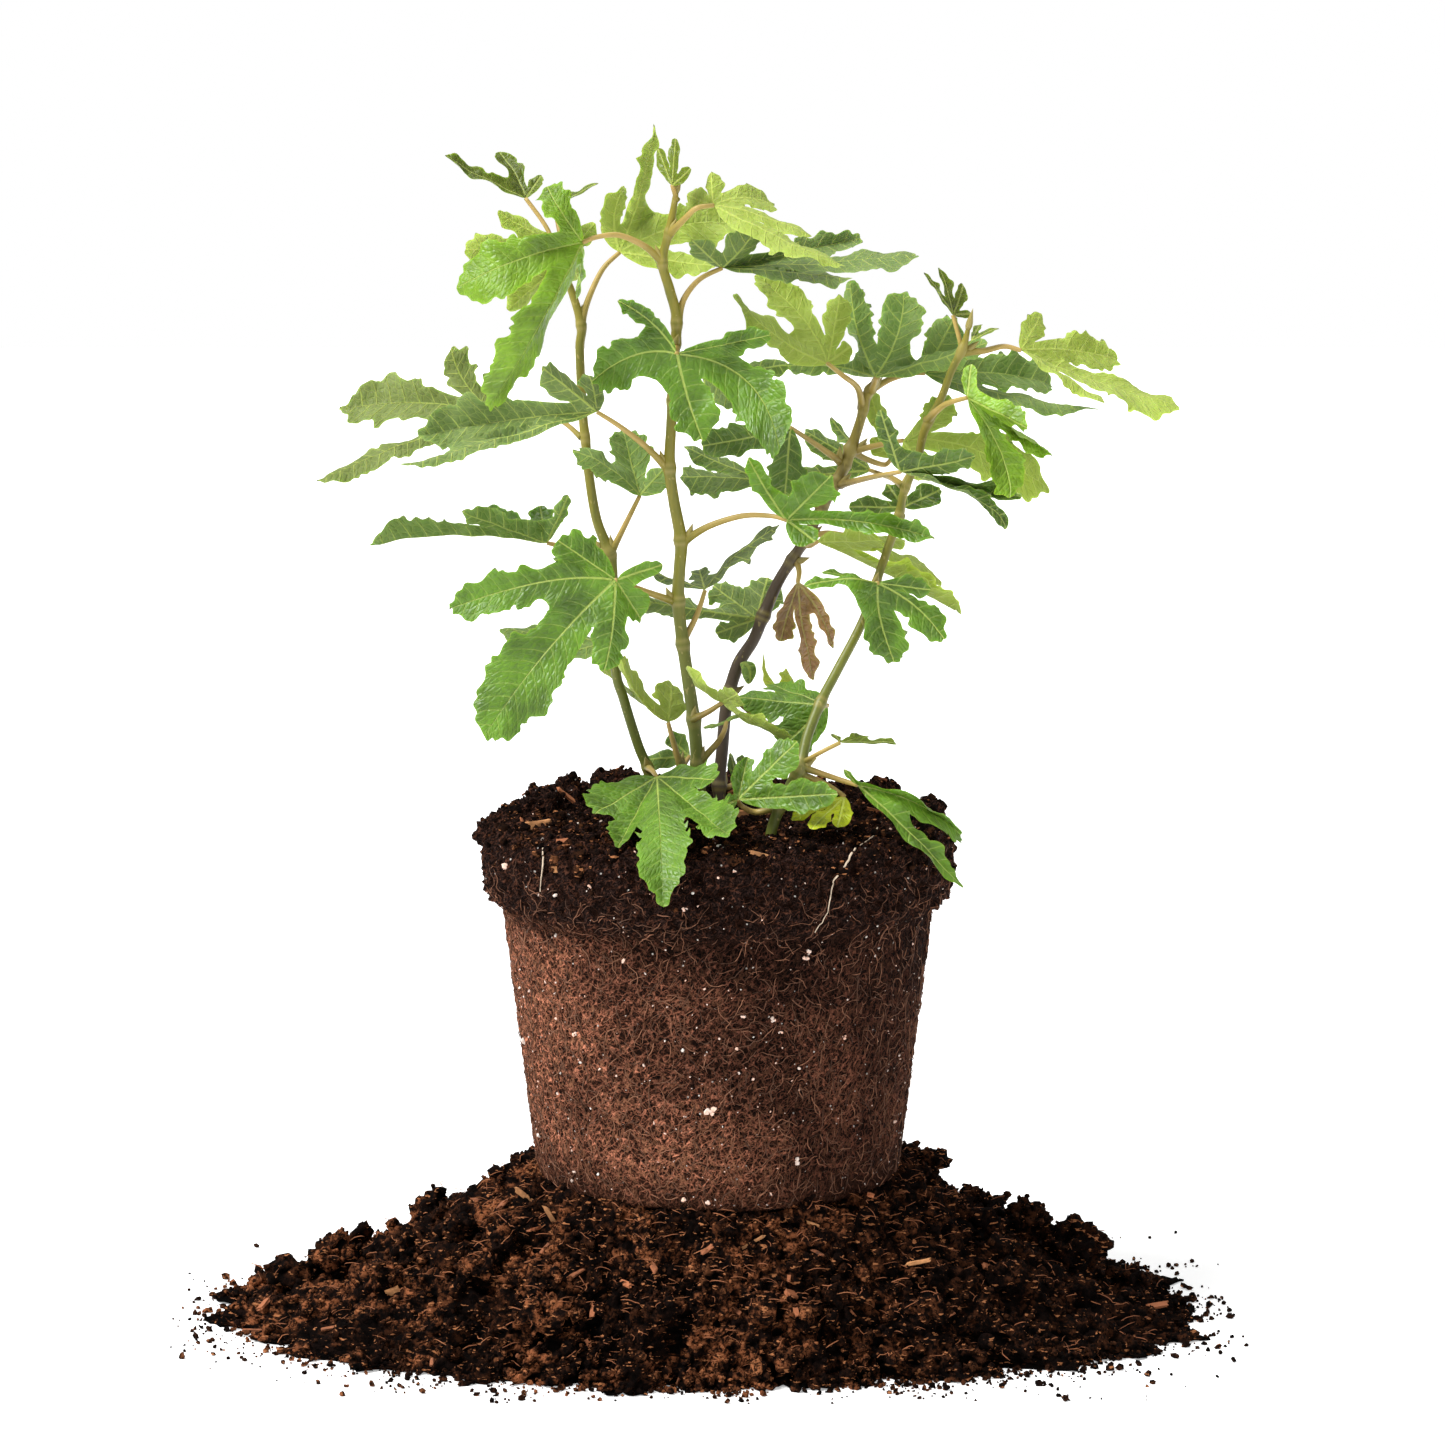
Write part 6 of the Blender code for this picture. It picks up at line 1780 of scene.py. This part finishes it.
def heap_edge(turn):
    """Distance from the axis to the heap's edge in this direction."""
    width = HEAP_TO_RIGHT if math.cos(turn) > 0 else HEAP_TO_LEFT
    depth = HEAP_TO_BACK if math.sin(turn) > 0 else HEAP_TO_FRONT
    radius = 1.0 / math.hypot(math.cos(turn) / width, math.sin(turn) / depth)
    around = Vector((*polar(1.0, turn), 0.0))
    return radius * (1.0 + UNEVEN_EDGE * noise.noise(around * EDGE_BENDS))


def heap_height(x, y):
    """Height of the heap's rough surface, which slopes from the ball's foot to the heap's edge."""
    radius = math.hypot(x, y)
    turn = math.atan2(y, x)
    edge = heap_edge(turn)
    foot = BALL_BOTTOM_RADIUS
    share = min(max((radius - foot) / (edge - foot), 0.0), 1.0)
    near_ball = max(0.0, 1.0 - abs(radius - foot - BANK_HALF_WIDTH) / (2 * BANK_HALF_WIDTH))
    bank = BANK_HEIGHT * near_ball * (0.6 + 0.4 * math.sin(turn))
    rough = 0.0
    for size, spacing in HEAP_LUMPS:
        rough += size * noise.noise(Vector((x, y, spacing)) / spacing)
    fade = min(1.0, (1.0 - share) / HEAP_FADE)
    slope = (1.0 - share) ** (1.0 + HEAP_HOLLOW * abs(math.cos(turn)))
    return HEAP_EDGE + (HEAP_TOP - HEAP_EDGE) * slope + (bank + rough) * fade


def reach_on_heap(turn, share, inner=0.0, margins=0.0):
    """A share of the way from the ball's foot, or this far outside it, to the heap's edge."""
    return BALL_BOTTOM_RADIUS + inner + (heap_edge(turn) - BALL_BOTTOM_RADIUS - margins) * share


def build_heap(materials):
    """The heap's lumpy surface and its clods, over the plain solid."""
    profile = [(FLAT_RADIUS + ring, min(ring, 1.0)) for ring in range(HEAP_RINGS + 2)]
    heap = turned("heap_surface", profile, HEAP_SIDES)
    for vert in heap.data.vertices:
        ring = round(math.hypot(vert.co.x, vert.co.y) / MM - FLAT_RADIUS)
        turn = math.atan2(vert.co.y, vert.co.x)
        edge = heap_edge(turn)
        reach, height = edge, 0.0
        if ring:
            share = (ring - 1) / HEAP_RINGS
            reach = edge * (1.0 - share) + HEAP_INNER_RADIUS * share
            height = heap_height(*polar(reach, turn))
        around = Vector((*polar(1.0, turn), 1.0))
        ragged = noise.noise(around * 9.0) + noise.noise(around * 24.0)
        reach *= 1.0 + RAGGED_EDGE * ragged * (reach / edge) ** 4
        vert.co = Vector((*polar(reach, turn), height)) * MM
    apply_modifier(heap, "SUBSURF", levels=2, render_levels=2, subdivision_type="SIMPLE")
    clods = []
    for number, ((x, y), radius) in enumerate(HEAP_CLODS):
        place = (x, y, heap_height(x, y) + radius * CLOD_STANDS_OUT)
        clods.append(add_clod(f"clod_{number}", place, radius, number))
    heap = join_pieces(heap, clods + [heap_clumps()])
    roughen(heap, HEAP_RELIEF)
    flatten_foot(heap)
    mark_crevice_shade(heap, rounds=8, depth=1.1)
    cover(heap, materials["soil"])
    keep(heap, "loose_soil", "soil_heap")
    return heap


def heap_clumps():
    """Crumbs that stick together in clumps, half sunk in the heap."""
    chance = random.Random(SEEDS["clumps"])
    clumps = Scatter(grain_shapes(kinds=10, subdivisions=2, roughness=0.25, seed=47))
    for number in range(CLUMPS):
        turn = any_turn(chance)
        x, y = polar(reach_on_heap(turn, chance.random() ** 0.7, 3.0, 5.0), turn)
        size = 2.0 + min(chance.expovariate(0.7), 4.5)
        sizes = uneven(chance, size, 0.7, 1.1)
        clumps.add((x, y, heap_height(x, y) + 0.2 * size), sizes, turned_randomly(chance), number, 0.0)
    return clumps.piece("clumps", [])


def flatten_foot(obj):
    """Lifts whatever has sunk below the floor back onto it."""
    for vert in obj.data.vertices:
        vert.co.z = max(vert.co.z, 0.0)


def build_heap_crumbs(settings, materials, tree):
    """Crumbs all over the heap, thinning out over the floor round it."""
    chance = random.Random(SEEDS["heap_crumbs"])
    shapes = grain_shapes(kinds=10, subdivisions=1, roughness=0.38, seed=29)
    crumbs, strewn = Scatter(shapes), Scatter(shapes)
    for number in range(settings.crumbs):
        turn = any_turn(chance)
        if number % 3:
            reach = reach_on_heap(turn, chance.random() ** 0.75)
        elif number % 21 == 0:
            reach = BALL_BOTTOM_RADIUS + chance.uniform(-1.0, 5.0)
        else:
            patch = max(0.0, 1.0 + 2.2 * noise.noise(Vector((*polar(1.0, turn), 3.0)) * 6.0))
            spread = 5.0 + 7.0 * abs(math.cos(turn)) ** 3
            reach = heap_edge(turn) + spread * chance.expovariate(1.0) * patch - 5.0
        x, y = polar(reach, turn)
        if not within_reach(x, y):
            continue
        place, normal = ground_spot(tree, x, y)
        on_floor = place.z < ON_FLOOR
        size = min(0.32 + chance.expovariate(2.2), 1.6 if on_floor else 2.8)
        sizes = uneven(chance, size, 0.55, 1.15)
        lifted = place + normal * size * (0.5 if on_floor else 0.3)
        gathered = strewn if on_floor else crumbs
        gathered.add(lifted, sizes, turned_randomly(chance), number, chance.random() ** 4)
    for name, gathered in (("heap_crumbs", crumbs), ("strewn_crumbs", strewn)):
        piece = gathered.piece(name, [materials["soil"]])
        flatten_foot(piece)
        keep(piece, "loose_soil")


def within_reach(x, y):
    """Whether a loose crumb here keeps the object within the plain box, widened on each side as far as the
    looks reach.
    """
    for at, low, high in zip((x, y), *CAD_BOX):
        spare = ALLOWED_SHARE * (high - low) / MM + ALLOWED_EXTRA - LOOSE_CRUMB_MARGIN
        if not low / MM - spare < at < high / MM + spare:
            return False
    return True


def build_chips(settings, materials, heap_tree, ball_tree):
    """Splinters of bark on the heap and on the ball's top."""
    chance = random.Random(SEEDS["chips"])
    chips = Scatter(chip_shapes())
    for number in range(settings.chips):
        turn = any_turn(chance)
        if number % 4:
            reach, tree = reach_on_heap(turn, chance.random(), 4.0, 8.0), heap_tree
        else:
            reach, tree = CHIPS_REACH * math.sqrt(chance.random()), ball_tree
        place, normal = ground_spot(tree, *polar(reach, turn))
        along = chance.uniform(1.4, 3.8)
        sizes = (along, along * chance.uniform(0.25, 0.5), along * chance.uniform(0.10, 0.22))
        facing = lean_on(normal) @ spun(chance.uniform(0, ABOUT_ROUND))
        chips.add(place + normal * 0.8, sizes, facing, number, chance.random())
    piece = chips.piece("bark_chips", [materials["bark_chip"]])
    flatten_foot(piece)
    keep(piece, "loose_soil")
    light = Scatter(chip_shapes())
    for number, (on_ball, across, up, length, width, slope) in enumerate(LIGHT_CHIPS):
        place, _ = seen_spot(ball_tree if on_ball else heap_tree, across, up)
        cosine, sine = math.cos(math.radians(slope)), math.sin(math.radians(slope))
        facing = np.array([[cosine, -sine, 0], [0, 0, -1], [sine, cosine, 0]])
        light.add(place, (length / 2, width / 2, 0.5), facing, number, 0.3 * (number % 3))
    keep(light.piece("light_chips", [materials["light_chip"]]), "loose_soil")


def build_fibres(settings, materials, tree):
    """Short fibres that curl out of the heap."""
    chance = random.Random(SEEDS["fibres"])
    tubes = Tubes()
    for _ in range(settings.fibres):
        turn = any_turn(chance)
        place, _ = ground_spot(tree, *polar(reach_on_heap(turn, chance.random(), margins=4.0), turn))
        heading, rise = chance.uniform(0, ABOUT_ROUND), chance.uniform(0.1, 0.7)
        line = [place - Vector((0.0, 0.0, 0.6))]
        for _ in range(chance.randint(3, 6)):
            line.append(line[-1] + Vector((*polar(1.0, heading), rise)).normalized() * 1.3)
            heading += chance.gauss(0.0, 0.3)
            rise -= chance.uniform(0.0, 0.3)
        for index, point in enumerate(line[1:]):
            floor = ground_spot(tree, point.x, point.y)[0].z + 0.3
            if floor > line[index].z + 1.5:
                del line[index + 1:]
                break
            point.z = max(point.z, floor)
        if len(line) > 2:
            tubes.add_thread(line, chance.uniform(0.09, 0.20), 0.4, chance, 0.6)
    keep(tubes.piece("heap_fibres", [materials["fibre"]]), "loose_soil")


# Stage

# Where each light comes from, and its spread in degrees
LIGHTS = {
    "key": ((-1.15, -0.42, 1.4), 24.0),
    "fill": ((0.9, -1.2, 0.6), 60.0),
    "top": ((0.1, 0.7, 1.6), 30.0),
}
FLOOR_SIZE = 6.0
WHITE = (1.0, 1.0, 1.0, 1.0)


def pale_room(brightness):
    """White behind the plant, and a softer light from all round it."""
    world = bpy.data.worlds.new("pale room")
    world.use_nodes = True
    tree = world.node_tree
    background = tree.nodes["Background"]
    background.inputs["Color"].default_value = WHITE
    level = tree.nodes.new("ShaderNodeMapRange")
    level.inputs["To Min"].default_value = brightness
    tree.links.new(tree.nodes.new("ShaderNodeLightPath").outputs["Is Camera Ray"], level.inputs["Value"])
    tree.links.new(level.outputs[0], background.inputs["Strength"])
    return world


def build_stage(settings):
    """A pale floor that glows a little, so that shadows stay faint, with the lights and the camera."""
    deselect()
    bpy.ops.mesh.primitive_plane_add(size=FLOOR_SIZE)
    floor = bpy.context.object
    floor.name = "floor"
    finish = Finish("floor_pale", 0.85, specular=0.1)
    finish.connect(finish.shader, {"Emission Color": WHITE, "Emission Strength": settings.floor_light})
    base = finish.mix(finish.noise(300.0), settings.floor, shade(settings.floor, 1.02))
    floor.data.materials.append(finish.done(base))
    scene = bpy.context.scene
    scene.world = pale_room(settings.sky)
    scene.view_settings.view_transform = "Standard"
    for name, (comes_from, spread) in LIGHTS.items():
        bpy.ops.object.light_add(type="SUN", location=comes_from)
        light = bpy.context.object
        light.name = name
        light.data.energy = getattr(settings, name)
        light.data.angle = math.radians(spread)
        light.rotation_euler = Vector(comes_from).to_track_quat("Z", "Y").to_euler()
    camera_data = bpy.data.cameras.new("photo_view")
    camera_data.sensor_width = SENSOR_WIDTH
    camera_data.lens = FOCAL_PIXELS / IMAGE_SIDE * SENSOR_WIDTH
    camera = bpy.data.objects.new("photo_view", camera_data)
    scene.collection.objects.link(camera)
    camera.location = eye() * MM
    camera.rotation_euler = (math.pi / 2 - VIEW_RISE, 0.0, 0.0)
    scene.camera = camera


# Operators, panel and main function

SURFACES = {}


class FIG_OT_leaves(bpy.types.Operator):
    """Build every leaf blade"""
    bl_idname = "fig.leaves"
    bl_label = "Leaves"

    def execute(self, context):
        materials = all_materials(context.scene)
        for seed, (name, leaf) in enumerate(LEAVES.items()):
            build_leaf(name, leaf, seed, context.scene.fig_leaf, materials)
        return {"FINISHED"}


class FIG_OT_stems(bpy.types.Operator):
    """Build the stems with their leaf stalks and buds"""
    bl_idname = "fig.stems"
    bl_label = "Stems"

    def execute(self, context):
        materials = all_materials(context.scene)
        for name, stations in STEMS.items():
            build_stem(name, stations, PETIOLES[name], materials)
        return {"FINISHED"}


class FIG_OT_root_ball(bpy.types.Operator):
    """Build the root ball with its roots, perlite and crumbs"""
    bl_idname = "fig.root_ball"
    bl_label = "Root ball"

    def execute(self, context):
        materials = all_materials(context.scene)
        tree = SURFACES["ball"] = surface_of(build_root_ball(materials))
        for build in (build_perlite, build_ball_roots, build_ball_crumbs):
            build(context.scene.fig_ball, materials, tree)
        return {"FINISHED"}


class FIG_OT_soil_heap(bpy.types.Operator):
    """Build the heap of loose soil with its crumbs, chips and fibres"""
    bl_idname = "fig.soil_heap"
    bl_label = "Soil heap"

    def execute(self, context):
        if "ball" not in SURFACES:
            raise RuntimeError("the root ball comes first")
        materials = all_materials(context.scene)
        settings = context.scene.fig_heap
        tree = surface_of(build_heap(materials))
        build_heap_crumbs(settings, materials, tree)
        build_chips(settings, materials, tree, SURFACES["ball"])
        build_fibres(settings, materials, tree)
        return {"FINISHED"}


class FIG_OT_stage(bpy.types.Operator):
    """Add the floor, the lights and the camera"""
    bl_idname = "fig.stage"
    bl_label = "Stage"

    def execute(self, context):
        build_stage(context.scene.fig_stage)
        return {"FINISHED"}


class FIG_PT_panel(bpy.types.Panel):
    """Lists the plant's pieces"""
    bl_idname = "FIG_PT_panel"
    bl_label = "Fig plant"
    bl_space_type = "VIEW_3D"
    bl_region_type = "UI"
    bl_category = "Fig"

    def draw(self, context):
        for operator in OPERATORS:
            self.layout.operator(operator.bl_idname)
        for name, group in GROUPS.items():
            for key in group.__annotations__:
                self.layout.prop(getattr(context.scene, name), key)


OPERATORS = [FIG_OT_leaves, FIG_OT_stems, FIG_OT_root_ball, FIG_OT_soil_heap, FIG_OT_stage]
GROUPS = {
    "fig_leaf": FigLeafSettings,
    "fig_stem": FigStemSettings,
    "fig_ball": FigBallSettings,
    "fig_heap": FigHeapSettings,
    "fig_stage": FigStageSettings,
}


def register():
    for name, group in GROUPS.items():
        bpy.utils.register_class(group)
        setattr(bpy.types.Scene, name, PointerProperty(type=group))
    for operator in OPERATORS:
        bpy.utils.register_class(operator)
    bpy.utils.register_class(FIG_PT_panel)


def unregister():
    bpy.utils.unregister_class(FIG_PT_panel)
    for operator in reversed(OPERATORS):
        bpy.utils.unregister_class(operator)
    for name, group in GROUPS.items():
        delattr(bpy.types.Scene, name)
        bpy.utils.unregister_class(group)


def main():
    register()
    bpy.ops.fig.leaves()
    bpy.ops.fig.stems()
    bpy.ops.fig.root_ball()
    bpy.ops.fig.soil_heap()
    bpy.ops.fig.stage()
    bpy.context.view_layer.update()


if __name__ == "__main__":
    main()
